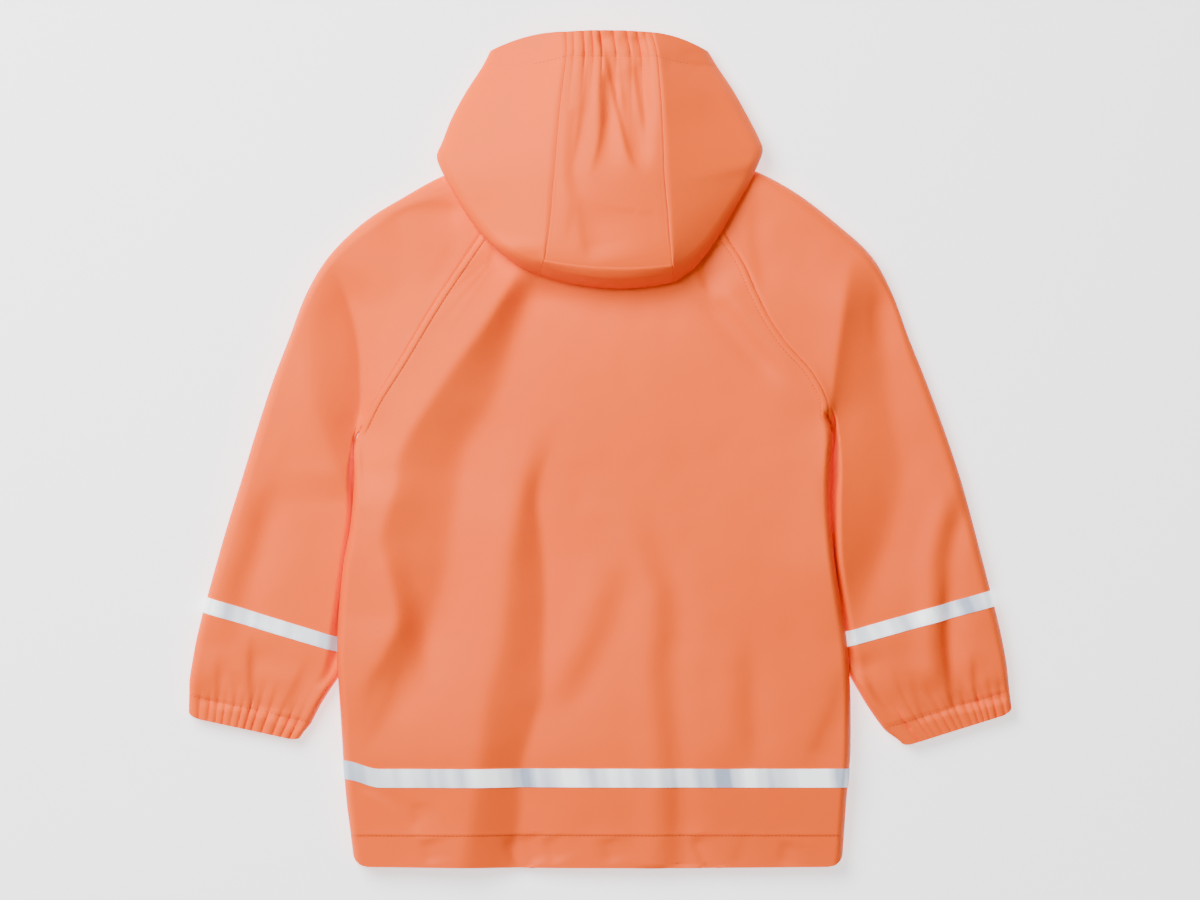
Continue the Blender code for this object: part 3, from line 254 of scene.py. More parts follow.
def faceted(points, facets):
    """Height that flat-sided folds add at points in plan."""
    total = np.zeros(points.shape[:-1])
    for facet in map(Facet._make, facets):
        left, right = offset_from(facet.left, points)[0], offset_from(facet.right, points)[0]
        bottom, top = facet.left[0][1], facet.left[-1][1]
        run = (points[..., 1] - bottom) / (top - bottom)
        inside, remaining = softened(left, facet.soft_left), softened(-right, facet.soft_right)
        outside = softened(-left, facet.soft_left) + softened(right, facet.soft_right)
        slant = np.exp(-outside / facet.reach) * (0.5 - inside / (inside + remaining))
        total += facet.depth * faded(run, facet) * slant
    return total


def creased(points, creases):
    """Height that sharp creases add at points in plan."""
    total = np.zeros(points.shape[:-1])
    for crease in map(Crease._make, creases):
        offset, run = offset_from(crease.path, points)
        ratio = softened(offset, crease.softness) / crease.width
        total -= crease.depth * faded(run, crease) * ratio * np.exp(1 - ratio)
    return total


def uneven(points, waves):
    """Height that waves of smooth noise add at points in plan."""
    total = np.zeros(points.shape[:-1])
    for wave in map(Wave._make, waves):
        flat = points[..., :2].reshape(-1, 2) * [1, wave.y_share] / wave.length
        values = [noise.noise(Vector((x, y, wave.seed))) for x, y in flat]
        total += wave.height * np.array(values).reshape(total.shape)
    return total


def groove(distance, depth=GROOVE_DEPTH):
    """Depth of the groove at a seam."""
    return depth * np.exp(-distance / GROOVE_WIDTH)


def stitch_dent(distance, half_width):
    """Depth to which a line of stitches draws the cloth down."""
    return STITCH_SINK * np.exp(-(distance / half_width)**2)


def nearer(edges, points):
    """Distance in plan to the nearer of the left and the right edge."""
    return np.minimum(*[np.abs(offset_from(edges[side], points)[0]) for side in SIDES])


def underarm_dip(points):
    """How far the cloth sinks round the underarms."""
    away = [np.linalg.norm(points[..., :2] - BODY_SIDE[side][0], axis=-1) for side in SIDES]
    return UNDERARM_DIP * np.exp(-(np.minimum(*away) / UNDERARM_REACH)**2)


def side_height(points):
    """Height of the body's side edge: low at the underarm, raised over the sleeve, low again below it."""
    x, y = points[..., 0], points[..., 1]
    below = np.where(x < 0, BODY_SIDE["left"][0][1], BODY_SIDE["right"][0][1]) - y
    raised = TUCK_HEIGHT + (FREE_HEIGHT - TUCK_HEIGHT) * eased((SLEEVE_EXIT - y) / SIDE_BLEND)
    return UNDERARM_HEIGHT + (raised - UNDERARM_HEIGHT) * eased(below / SIDE_CLIMB)


def upper(points):
    """Middle height of the back, and of a sleeve where it joins the body."""
    y = points[..., 1]
    crown = NECK_THICKNESS + (BODY_THICKNESS - NECK_THICKNESS) * eased((CROWN_START - y) / CROWN_BLEND)
    crown += (HEM_THICKNESS - BODY_THICKNESS) * eased((CROWN_END - y) / CROWN_BLEND)
    crown += folded(points, BODY_FOLDS + SLEEVE_FOLDS) + faceted(points, BODY_FACETS + SLEEVE_FACETS)
    crown -= underarm_dip(points)
    height = FREE_HEIGHT + (crown - FREE_HEIGHT) * rounded(nearer(OUTER_EDGE, points), EDGE_ROLL)
    side = side_height(points)
    return side + (height - side) * rounded(nearer(BODY_SIDE, points), EDGE_ROLL)


def placed(name, data):
    """A new object in the scene."""
    made = bpy.data.objects.new(name, data)
    bpy.context.scene.collection.objects.link(made)
    return made


def grid_normals(grid, closed):
    """A unit normal for each point of a grid, on the left of its rows as they are passed upwards."""
    up = np.gradient(grid, axis=0)
    across = np.roll(grid, -1, 1) - np.roll(grid, 1, 1) if closed else np.gradient(grid, axis=1)
    normals = np.cross(across, up)
    return normals / (np.linalg.norm(normals, axis=-1, keepdims=True) + 1e-12)


class Value:
    """An output socket that can stand in a sum; each operation adds its Math node."""

    def __init__(self, tree, socket):
        self.tree, self.socket = tree, socket

    def __add__(self, other):
        return add_node(self.tree, "ShaderNodeMath", {0: self, 1: other}, operation="ADD")

    def __mul__(self, other):
        return add_node(self.tree, "ShaderNodeMath", {0: self, 1: other}, operation="MULTIPLY")

    __radd__ = __add__
    __rmul__ = __mul__


def fill(tree, sockets, values):
    """Sets sockets of a node; a value that is an output of another node is linked."""
    for key, value in values.items():
        if isinstance(value, Value):
            tree.links.new(value.socket, sockets[key])
        else:
            sockets[key].default_value = value


def add_node(tree, kind, values=None, output=0, **settings):
    """Adds a node with its settings and its sockets, and returns the output that is wanted of it."""
    node = tree.nodes.new(kind)
    for key, value in settings.items():
        setattr(node, key, value)
    fill(tree, node.inputs, values or {})
    return Value(tree, node.outputs[output]) if node.outputs else None


class Finish:
    """One material, whose methods add nodes and whose set() fills the shader's sockets."""

    def __init__(self, name):
        self.material = bpy.data.materials.new(name)
        self.material.use_nodes = True
        self.tree = self.material.node_tree
        self.place = self.node("ShaderNodeTexCoord", output="Object")

    def node(self, kind, values=None, output=0, **settings):
        return add_node(self.tree, kind, values, output, **settings)

    def noise(self, scale, detail):
        return self.node("ShaderNodeTexNoise", {"Vector": self.place, "Scale": scale, "Detail": detail})

    def tinted(self, factor, dark, light):
        return self.node("ShaderNodeMix", {0: factor, 6: (*dark, 1), 7: (*light, 1)}, 2, data_type="RGBA")

    def bump(self, height, depth, normal=None):
        values = {"Height": height, "Distance": depth, "Strength": 1.0}
        if normal is not None:
            values["Normal"] = normal
        return self.node("ShaderNodeBump", values)

    def set(self, **values):
        sockets = self.tree.nodes["Principled BSDF"].inputs
        fill(self.tree, sockets, {key.replace("_", " "): value for key, value in values.items()})
        return self.material


def coated_fabric():
    """Matt polyurethane coating: a fine grain, slight orange peel and a soft, uneven gloss."""
    finish = Finish("coral_coated_fabric")
    grain = finish.noise(scale=1500.0, detail=1.0)
    peel = finish.noise(scale=160.0, detail=1.0)
    cloud = finish.noise(scale=14.0, detail=3.0)
    return finish.set(Base_Color=finish.tinted(cloud, (0.97, 0.100, 0.001), (1.0, 0.118, 0.002)),
                      Roughness=cloud * 0.10 + grain * 0.06 + 0.50,
                      Normal=finish.bump(grain, 0.00004, finish.bump(peel, 0.00006)), IOR=1.27)


CORAL_FABRIC = coated_fabric()


def cloth(name, node, grid, closed=False, finish=CORAL_FABRIC, wall=WALL, outwards=0.0):
    """A thin closed wall on a grid of points in millimetres, in a solid's place; its UV map is the run
    along and up the grid."""
    normals = grid_normals(grid, closed)
    rows, columns = grid.shape[:2]
    outer, inner = grid + normals * (outwards + wall / 2), grid + normals * (outwards - wall / 2)
    points = (np.concatenate([outer.reshape(-1, 3), inner.reshape(-1, 3)]) - ORIGIN) / 1000
    number = np.arange(rows * columns).reshape(rows, columns)
    ring = np.hstack([number, number[:, :1]]) if closed else number
    skin = np.stack([ring[:-1, :-1], ring[:-1, 1:], ring[1:, 1:], ring[1:, :-1]], axis=-1).reshape(-1, 4)
    rims = [ring[0][::-1], ring[-1]] + ([] if closed else [ring[:, 0], ring[::-1, -1]])
    below = rows * columns
    faces = [skin, skin[:, ::-1] + below]
    faces += [np.stack([rim[:-1], rim[1:], rim[1:] + below, rim[:-1] + below], axis=-1) for rim in rims]
    mesh = bpy.data.meshes.new(name)
    mesh.from_pydata(points.tolist(), [], np.vstack(faces).tolist())
    along_row = np.linalg.norm(np.diff(grid, axis=1, prepend=grid[:, :1]), axis=-1).cumsum(1)
    up_column = np.linalg.norm(np.diff(grid, axis=0, prepend=grid[:1]), axis=-1).cumsum(0)
    runs = np.tile(np.stack([along_row, up_column], axis=-1).reshape(-1, 2) / 1000, (2, 1))
    corners = np.zeros(len(mesh.loops), int)
    mesh.loops.foreach_get("vertex_index", corners)
    mesh.uv_layers.new(name="run").data.foreach_set("uv", runs[corners].ravel())
    mesh.shade_smooth()
    mesh.set_sharp_from_angle(angle=SHARP_ANGLE)
    mesh.materials.append(finish)
    piece = placed(name, mesh)
    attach(piece, "root")
    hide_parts(node)
    return piece


def level_rows():
    """Levels of the body's rows from the hem to the underarm, closer together at the hem's stitches."""
    coarse, fine = np.arange(HEM_Y, 0, ROW_STEP), np.arange(*STITCH_ROWS)
    coarse = coarse[np.abs(coarse - fine[0]) > 0.5]
    return np.unique(np.round(np.concatenate([coarse, fine, TAPE_LEVELS, HEM_EDGE_ROWS]), 2))


# Rows of the body panels: level ones, then a bridge over the underarm, where each is level by a smaller
# share, and then those along the raglan seam, which bend more and more like the neck seam
LEVEL_YS = level_rows()
BRIDGE = np.linspace(1, 0, 9)[:-1]
RAGLAN_FRACTIONS = np.linspace(0, 1, RAGLAN_ROWS)
BELOW_RAGLAN = len(LEVEL_YS) + len(BRIDGE)
STATIONS = np.interp(RAGLAN_FRACTIONS, RAGLAN_STATIONS, range(len(RAGLAN_STATIONS)))
NECK_SHARES = np.concatenate([np.zeros(BELOW_RAGLAN), np.clip(STATIONS / NECK_STATION - 1, 0, 1)])


def panel_edge(side, raglan):
    """Edge points of the body rows, up the side and the raglan seam; the hem's corner is round in plan."""
    outline = along(BODY_SIDE[side], np.linspace(1, 0, OUTLINE_POINTS))
    ys = LEVEL_YS + np.interp(LEVEL_YS, *zip(*RISES[side]))
    ys = np.concatenate([ys, ys[-1] + (BODY_SIDE[side][0][1] - ys[-1]) * (1 - BRIDGE)])
    depth = np.clip(HEM_CORNER - (ys - HEM_Y), 0, HEM_CORNER)
    xs = np.interp(ys, outline[:, 1], outline[:, 0])
    xs += INWARD[side] * (HEM_CORNER - np.sqrt(HEM_CORNER**2 - depth**2))
    return np.vstack([np.column_stack([xs, ys]), along(raglan[side], RAGLAN_FRACTIONS)])


def panel_plan(edges, distances, widths, neck):
    """Plan points of a body panel, row by row between two edges; its level rows rise towards the first
    edge by the left side's table and towards the second by the right side's."""
    start, end = edges
    plan = start[:, None] + (end - start)[:, None] * (distances / widths)[..., None]
    low = plan[:BELOW_RAGLAN]
    ys = np.concatenate([LEVEL_YS, np.zeros(len(BRIDGE))])
    level = ys[:, None]
    for side, edge in zip(SIDES, edges):
        near = 1 - eased(np.linalg.norm(low - edge[:BELOW_RAGLAN, None], axis=-1) / RISE_REACH)
        level = level + np.interp(ys, *zip(*RISES[side]))[:, None] * near
    low[..., 1] += (level - low[..., 1]) * np.concatenate([np.ones(len(LEVEL_YS)), BRIDGE])[:, None]
    fractions = (distances / widths)[-1]
    chord = start[-1] + (end[-1] - start[-1]) * fractions[:, None]
    return plan + (along(neck, fractions) - chord) * NECK_SHARES[:, None, None]


def make_back():
    """The back's grid of points, row by row from the left to the right."""
    start, end = edges = [panel_edge(side, BACK_RAGLAN) for side in SIDES]
    widths = np.linalg.norm(end - start, axis=1)[:, None]
    near = np.broadcast_to(EDGE_DISTANCES, (len(start), len(EDGE_DISTANCES)))
    band = EDGE_DISTANCES[-1]
    middle = band + (widths - 2 * band) * np.linspace(0, 1, MIDDLE_CELLS + 1)[1:-1]
    distances = np.hstack([near, middle, widths - near[:, ::-1]])
    plan = panel_plan(edges, distances, widths, BACK_NECK)
    at_hem = np.clip(1 - (LEVEL_YS - HEM_Y) / HEM_SAG_REACH, 0, 1)[:, None]
    plan[:len(LEVEL_YS), :, 1] -= HEM_SAG * at_hem * np.sin(np.pi * (distances / widths)[:len(LEVEL_YS)])
    height = upper(plan) + folded(plan, SMALL_FOLDS) + creased(plan, BACK_CREASES)
    return np.dstack([plan, height + seam_relief(plan) + uneven(plan, BACK_WAVES)])


def seam_relief(plan):
    """The turnings stitched down beside the raglan seams, the seams' grooves, and the turned hem's edge."""
    seam = nearer(BACK_RAGLAN, plan)
    from_stitches = seam - SEAM_BAND
    relief = SEAM_BAND_LIFT * (1 - eased((from_stitches + STITCH_DENT) / SEAM_BAND_STEP))
    relief -= stitch_dent(from_stitches, STITCH_DENT) + groove(seam)
    above = plan[..., 1] - HEM_STITCH_Y
    step = eased((above - HEM_STEP_START) / HEM_STEP_WIDTH)
    relief += HEM_STEP * step * np.exp(-np.clip(above, 0, None) / HEM_STEP_REACH)
    return relief + uneven(plan, HEM_PUCKERS) * np.exp(-np.abs(above - PUCKER_LEVEL) / PUCKER_REACH)


back_grid = make_back()
back = cloth("back_panel", "back", back_grid)

# --- The fronts ---------------------------------------------------------------------------------
# Two panels of the same fabric under the back; the wearer's left one laps over the right one at the
# studded placket. The jacket's weight rests on them, so they are nearly flat.

LIP_ROLL, TUCKED_ROLL, BEVEL_REACH, BEVEL_SHARE = 9.0, 4.0, 18.0, 0.8
UNDER_ROLL = 9.0
NECK_LIFT, NECK_STEPS = WALL + 0.4, (0.3, 0.7, 1)     # of the panels' last rows, under the hood's edge
TAPE_LIFT, TAPE_MARGIN, TAPE_SLOPE = 1.1, 6.0, 5.0    # gives the tape room between cloth and table
LAP_GAP = 0.3
CENTRE_FRONT = np.array([(4.2, 177.5), (-6.0, HEM_Y)])
CENTRE_BRIDGE = 12.0  # level at the centre front that belongs to the underarm
PLACKET_WIDTH, PLACKET_STEP, PLACKET_CELLS, STEP_PLACES = 32.0, 8.0, 8, (2, 4)
FRONT_CELLS = 44
FRONT_RAGLAN = {
    "left": [(-199.6, 15.8), (-178, 48), (-140, 100), (-105, 150), (-82, 192), (-73.3, 222.5)],
    "right": [(189.2, 27.5), (170, 58), (143, 105), (113, 150), (91, 192), (81.7, 222.5)],
}
FRONT_NECK = {
    "left": [(-73.3, 222.5), (-60.8, 205.8), (-47.5, 192.5), (-33.3, 184.2), (-16.7, 179.2)],
    "right": [(81.7, 222.5), (69.2, 205.8), (55.9, 192.5), (41.7, 184.2), (25.1, 179.2)],
}
FRONT_WAVES, FRONT_EASE = [(0.25, 40, 1, 11.5)], 0.25     # the ease keeps the waves off the table


def lower(points):
    """Middle height of the fronts, and of a sleeve's lower layer where it joins them."""
    distance = nearer(BODY_SIDE, points)
    tucked = 1 - eased((SLEEVE_EXIT - points[..., 1]) / SIDE_BLEND)
    lip = 1 - rounded(distance, LIP_ROLL + (TUCKED_ROLL - LIP_ROLL) * tucked)
    bevel = 1 - eased((distance - LIP_ROLL) / BEVEL_REACH)
    rise = (side_height(points) - FLOOR) * (lip + tucked * BEVEL_SHARE * (bevel - lip))
    shoulder = (FREE_HEIGHT - FLOOR) * (1 - rounded(nearer(OUTER_EDGE, points), UNDER_ROLL))
    return FLOOR + np.maximum(rise, shoulder)


def make_front(side):
    """A front's grid of points, row by row from its side to the placket; the left one is the outer one."""
    start = panel_edge(side, FRONT_RAGLAN)
    neck, hem = CENTRE_FRONT
    ys = np.concatenate([LEVEL_YS, np.linspace(0, CENTRE_BRIDGE, len(BRIDGE) + 1)[:-1],
                         np.linspace(CENTRE_BRIDGE, neck[1], RAGLAN_ROWS)])
    end = hem + (neck - hem) * ((ys - hem[1]) / (neck[1] - hem[1]))[:, None]
    end = end + [INWARD[side] * PLACKET_WIDTH / 2, 0]
    widths = np.linalg.norm(end - start, axis=1)[:, None]
    near = np.broadcast_to(EDGE_DISTANCES, (len(start), len(EDGE_DISTANCES)))
    step = widths - PLACKET_WIDTH - PLACKET_STEP
    middle = EDGE_DISTANCES[-1] + (step - EDGE_DISTANCES[-1]) * np.linspace(0, 1, FRONT_CELLS + 1)[1:]
    placket = widths - (PLACKET_WIDTH + 1) * np.linspace(1, 0, PLACKET_CELLS + 1)
    distances = np.hstack([near, middle, step + STEP_PLACES, placket])
    plan = panel_plan([start, end], distances, widths, FRONT_NECK[side] + [tuple(end[-1])])
    on_placket = eased((distances - step) / (PLACKET_STEP - 1))
    y, (tape_bottom, tape_top) = plan[..., 1], TAPE_LEVELS
    tape = (eased((y - tape_bottom + TAPE_MARGIN) / TAPE_SLOPE)
            * eased((tape_top + TAPE_MARGIN - y) / TAPE_SLOPE))
    height = np.maximum(lower(plan), FLOOR + TAPE_LIFT * tape)
    lift = TAPE_LIFT if side == "left" else TAPE_LIFT + WALL + LAP_GAP
    height += (FLOOR + lift - height) * on_placket
    height[-len(NECK_STEPS):] += NECK_LIFT * np.array(NECK_STEPS)[:, None]
    height += (FRONT_EASE + uneven(plan, FRONT_WAVES)) * (1 - on_placket) * (1 - tape)
    return np.dstack([plan, height])[::2]


def facing_out(side, grid):
    """A grid whose rows start at the side edge, with its normals turned out of the jacket."""
    return grid[:, ::-1] if side == "left" else grid


front_grids = {side: make_front(side) for side in SIDES}
fronts = {side: cloth("front_panel_" + side, "front_" + side, facing_out(side, front_grids[side]))
          for side in SIDES}

# --- The sleeves --------------------------------------------------------------------------------
# Each is one piece from the raglan seams to the cuff, closed by a seam along its inner edge, which
# lies under the body. An elastic stitched into the turned-up cuff draws it into pleats.

SLEEVE_LIP, INNER_CLIMB, INNER_ROLL = 2.6, (7.0, 15.0), 3.5
UNDER_SHARE, BODY_REACH = 0.75, 15.0
FAN_SECTIONS = 5      # sections below the raglan seam that fan out from it
CUFF_SECTION = 16     # section at the cuff's stitch line
CUFF_LENGTH, CUFF_CORNER, CUFF_CORNER_REACH = 20.0, 5.0, 10.0
TAPE_SECTIONS = (11, 12)
# Inner edge of each section, its height there, and how far it reaches on under the body
INNER_EDGE = {
    "left": [(-200.2, 16.1, 11.5, 0), (-204.2, 10.4, 8.6, 0.8), (-206, 4.5, 6.6, 2),
             (-206.2, -1.5, 5.6, 2), (-205.4, -7.5, 4.8, 1.5), (-204.2, -13.5, 4.3, 1),
             (-202.6, -19.5, 4, 0.5), (-201, -27, 3.8, 0), (-198.6, -39, 3.8, 0), (-197.5, -63, 3.8, 0),
             (-203, -100, 3.8, 0), (-211.7, -159, 3.8, 0), (-213, -171, 4.2, 0), (-218, -188.5, 5, 0),
             (-226, -201, 7, 0), (-234, -214, 7, 0), (-241, -227.5, 7, 0), (-250, -243.5, 7, 0)],
    "right": [(189.8, 27.9, 11.5, 0), (193.2, 22.3, 8.6, 1), (195.8, 16.5, 6.6, 3.5),
              (196.1, 11.5, 6.1, 4), (195.1, 3.5, 5.3, 3), (193.8, -1.5, 4.3, 2), (191.4, -7.5, 4, 1),
              (189, -15, 3.8, 0), (187, -28, 3.8, 0), (185.5, -57, 3.8, 0), (187, -97, 3.8, 0),
              (196.7, -154.6, 3.8, 0), (198.5, -167, 4.2, 0), (205, -182.5, 5, 0), (214, -198, 7, 0),
              (223.5, -214, 7, 0), (236.7, -232.5, 7, 0), (252, -248.5, 7, 0)],
}
# Height of each section's upper layer, roll of its edges, share of the body's own height, tuck under
# the body, and lift for the tape
SECTION_SHAPES = [(20, 12, 1, 0, 0), (20, 12, 0.7, 0.4, 0), (20, 12, 0.4, 0.8, 0), (20, 12, 0.2, 1, 0),
                  (20, 12, 0.1, 1, 0), (20, 12, 0.04, 1, 0), (20, 12, 0, 1, 0), (20, 12, 0, 1, 0),
                  (20, 12, 0, 1, 0), (20, 12, 0, 1, 0), (19, 12, 0, 1, 0), (18, 11, 0, 1, 1),
                  (18, 11, 0, 0.8, 1), (17, 10, 0, 0.4, 0), (17, 9, 0, 0, 0), (16, 8, 0, 0, 0),
                  (14, 7, 0, 0, 0), (13, 7, 0, 0, 0)]
Section = namedtuple("Section", "outer_x outer_y inner_x inner_y inner_z reach crown roll body tuck lift")
SLEEVE_CREASES = {
    "left": [
        (-1.6, 14, 1.2, 0.3, 0.25, [(-231.7, 165.8), (-216.7, 140), (-208.3, 114.2), (-202.5, 86.7),
                                    (-200, 45), (-200, -5)]),
        (2.6, 9, 3, 0.3, 0.2, [(-193.3, 195.8), (-156.7, 205), (-108.3, 205)]),
        (0.9, 10, 4, 0.4, 0.4, [(-155, 124.2), (-135, 155.8), (-118.3, 187.5)]),
        (0.9, 12, 5, 0.4, 0.4, [(-303.3, -125.8), (-295, -92.5), (-281.7, -42.5), (-250, 40.8)]),
        (2.6, 6, 2, 0.1, 0.5, [(-322.5, -216.7), (-320, -185.8), (-319.2, -165.8)]),
        (3.8, 7, 2, 0.1, 0.5, [(-292.5, -223.3), (-293.3, -171.7), (-289.2, -144.2)]),
        (2.3, 8, 2, 0.1, 0.5, [(-270.8, -228.3), (-249.2, -182.5), (-243.3, -165.8)]),
        (1.4, 4, 1.5, 0.15, 0.5, [(-305, -219.2), (-308.3, -182.5)]),
        (1.4, 4, 1.5, 0.15, 0.5, [(-285.8, -224.2), (-281.7, -182.5)]),
        (1.4, 4, 1.5, 0.15, 0.5, [(-279.2, -226.7), (-269.2, -189.2)]),
        (1.2, 4, 1.5, 0.15, 0.5, [(-330.8, -214.2), (-331.7, -185.8)]),
    ],
    "right": [
        (1.6, 14, 1.2, 0.4, 0.25, [(198.3, -134.2), (192.5, -59.2), (189.2, -0.8), (195, 60), (200, 95.8),
                                   (205.8, 129.2), (208.3, 169.2)]),
        (1.6, 8, 3, 0.3, 0.3, [(135, 124.2), (127.5, 155.8), (124.2, 187.5), (130.8, 215.8)]),
        (1, 10, 4, 0.3, 0.4, [(141.7, 189.2), (166.7, 184.2), (198.3, 174.2)]),
        (1, 8, 3, 0.4, 0.4, [(226.7, 74.2), (223.3, 107.5), (225, 142.5)]),
        (3.8, 8, 2, 0.06, 0.5, [(291.7, -221.7), (285.8, -175.8), (283.3, -134.2), (286.7, -89.2)]),
        (2.9, 5, 1.5, 0.1, 0.5, [(313.3, -215.8), (309.2, -185.8), (308.3, -165.8)]),
        (1.7, 5, 1.5, 0.12, 0.5, [(303.3, -219.2), (298.3, -194.2), (291.7, -179.2)]),
        (1.7, 5, 1.5, 0.12, 0.5, [(270.8, -229.2), (259.2, -200.8), (253.3, -182.5)]),
        (1.6, 5, 1.5, 0.12, 0.5, [(282.5, -225.8), (272.5, -207.5), (265.8, -189.2)]),
        (1.4, 4, 1.5, 0.12, 0.5, [(265, -231.7), (248.3, -200.8), (241.7, -179.2)]),
        (2.3, 5, 1.2, 0.3, 0.2, [(259.2, -227.5), (233.3, -214.2), (221.7, -195.8), (212.5, -169.2)]),
        (1.3, 4, 1.5, 0.15, 0.5, [(324.2, -214.2), (320, -185.8)]),
        (1.2, 4, 1.5, 0.15, 0.5, [(332.5, -211.7), (329.2, -189.2)]),
    ],
}
SLEEVE_WAVES = [(0.45, 40, 1, 2.5), (0.2, 16, 1, 5.5)]
CALM_INNER, CALM_OUTER = 14.0, 8.0    # bands at the edges in which creases and waves fade out
# Where the cuff's pleats lie, as fractions from the inner to the outer edge
PLEATS = {
    "left": (0, 0.10, 0.17, 0.25, 0.345, 0.44, 0.50, 0.565, 0.63, 0.70, 0.76, 0.83, 0.91, 1),
    "right": (0, 0.17, 0.215, 0.255, 0.315, 0.38, 0.455, 0.51, 0.565, 0.65, 0.70, 0.755, 0.80, 0.865, 0.94,
              1),
}
PLEAT_DEPTH, PLEAT_SHARPNESS, PLEAT_EDGE = 3.4, 0.4, 6.0
PLEAT_WIDTH, PLEAT_SHARES = 9.0, (0.45, 1.2)          # width at full depth, and limits of a pleat's share
PLEAT_START, PLEAT_ONSET = -1.5, 4.0
PLEAT_LEAD, PLEAT_LEAD_SHARE = 11.0, 0.75             # how far up the sleeve the pleats run out
FULLNESS, FULLNESS_START, FULLNESS_REACH = 0.8, 1.8, 32.0
UNDER_PLEAT_SHARE = 0.7
ROLL_SHARE = 0.65     # of the solid's roll, because the fabric itself is thin
ROLL_POINT, REACH_WIDTH = 0.3, 3.0    # share of a roll at which a section has a point, and band of its reach
SECTION_STEP, CUFF_EXTRA_RINGS, EVEN_STEPS = 2.4, 3, 8
COARSE_RING = range(13)               # places of a section's main points, the seam's stations among them
NECK_PLACES, NECK_LIFTS, NECK_SECTIONS = (9, 10, 11, 12), (0, NECK_LIFT, 0.8, 0), 0.4
RING_PLACES = np.concatenate([[0, 0.03, 0.12, 0.3, 0.6, 1, 1.25, 1.5, 1.75], np.arange(2, 10, 1 / 9),
                              [10, 10.25, 10.5, 10.75, 11, 11.4, 11.7, 11.88, 11.97, 12]])


def sleeve_layer(side, seam_path, sections, places):
    """Plan points of one layer of a sleeve, section by section from the inner to the outer edge."""
    roll = sections.roll
    inner = np.hstack([sections.inner_x, sections.inner_y])
    outer = np.hstack([sections.outer_x, sections.outer_y])
    width = np.linalg.norm(outer - inner, axis=1)[:, None]
    steps = np.linspace(0, 1, EVEN_STEPS + 1)[1:-1]
    coarse = np.hstack([0 * roll, ROLL_POINT * roll, roll, roll + (width - 2 * roll) * steps,
                        width - roll, width - ROLL_POINT * roll, width])
    own = np.array([np.interp(RING_PLACES, COARSE_RING, row) for row in coarse])
    seam_end = len(RAGLAN_STATIONS) - 1
    seam = along(seam_path, np.interp(RING_PLACES, range(seam_end + 1), RAGLAN_STATIONS))
    beyond = np.clip((RING_PLACES - seam_end) / (COARSE_RING[-1] - seam_end), 0, 1)[:, None]
    seam = seam + (OUTER_EDGE[side][0] - seam) * beyond
    chord = seam[-1] - seam[0]
    length = np.linalg.norm(chord)
    run = (seam - seam[0]) @ chord / length
    bulge = (seam - seam[0]) @ [chord[1], -chord[0]] / length
    share = np.clip(1 - places / FAN_SECTIONS, 0, 1)[:, None]**2
    distances = np.clip(own + (run * width / length - own) * share, 0, width)
    way = (outer - inner) / width
    aside = np.stack([way[:, 1], -way[:, 0]], 1)
    offset = share * np.interp(distances * length / width, run, bulge)
    plan = inner[:, None] + way[:, None] * distances[..., None] + aside[:, None] * offset[..., None]
    plan[..., 0] += INWARD[side] * sections.reach * np.clip(1 - distances / REACH_WIDTH, 0, 1)
    ring = inner[0] + (seam - inner[0]) * np.clip(RING_PLACES, 0, 1)[:, None]
    settle = np.clip(1 - places, 0, 1)[:, None, None]
    return plan + (ring - plan[0]) * settle, distances, width


def valleys(pleats, places, sharpness):
    """How deep each place lies in its pleat's valley, from 0 to 1, and the width of that pleat."""
    index = np.clip(np.searchsorted(pleats, places, side="right") - 1, 0, len(pleats) - 2)
    low, high = np.take(pleats, index), np.take(pleats, index + 1)
    phase = np.clip((places - low) / (high - low), 0, 1)
    return 1 - np.sin(np.pi * phase)**sharpness, high - low


def pleated(side, places, distances, width):
    """How far the elastic's pleats sink into the cuff, and the fullness that it holds back above it."""
    valley, share = valleys(PLEATS[side], distances / width, PLEAT_SHARPNESS)
    valley = valley * PLEAT_DEPTH * np.clip(share * width / PLEAT_WIDTH, *PLEAT_SHARES)
    below = (places - CUFF_SECTION)[:, None] * CUFF_LENGTH
    above = np.clip(-below, 0, None)
    within = eased((below - PLEAT_START) / PLEAT_ONSET)
    lead = np.exp(-above / PLEAT_LEAD) * (1 - within) * PLEAT_LEAD_SHARE
    fullness = FULLNESS * eased(above / FULLNESS_START) * np.exp(-above / FULLNESS_REACH)
    edge = eased(np.minimum(distances, width - distances) / PLEAT_EDGE)
    return (valley * (within + lead) - fullness) * edge


def upper_heights(side, plan, sections, places, inner_way, width):
    """Heights of a sleeve's upper layer: tucked under the body at its inner edge, free at its outer one."""
    outer_way = width - inner_way
    crown = sections.crown + folded(plan, SLEEVE_FOLDS) + faceted(plan, SLEEVE_FACETS) - underarm_dip(plan)
    crown = FREE_HEIGHT + (crown - FREE_HEIGHT) * rounded(outer_way, sections.roll)
    lip = sections.inner_z + SLEEVE_LIP * sections.tuck * rounded(inner_way, INNER_ROLL)
    free = rounded(inner_way, sections.roll)
    climb = eased((inner_way - INNER_CLIMB[0]) / (INNER_CLIMB[1] - INNER_CLIMB[0]))
    own = lip + (crown - lip) * (free + (climb - free) * sections.tuck)
    heights = own + (upper(plan) - own) * sections.body ** (1 + 2 * np.exp(-inner_way / BODY_REACH))
    calm = eased(inner_way / CALM_INNER) * eased(outer_way / CALM_OUTER)
    heights += (creased(plan, SLEEVE_CREASES[side]) + uneven(plan, SLEEVE_WAVES)) * calm
    heights -= groove(np.abs(offset_from(BACK_RAGLAN[side], plan)[0]))
    return heights - pleated(side, places, inner_way, width)


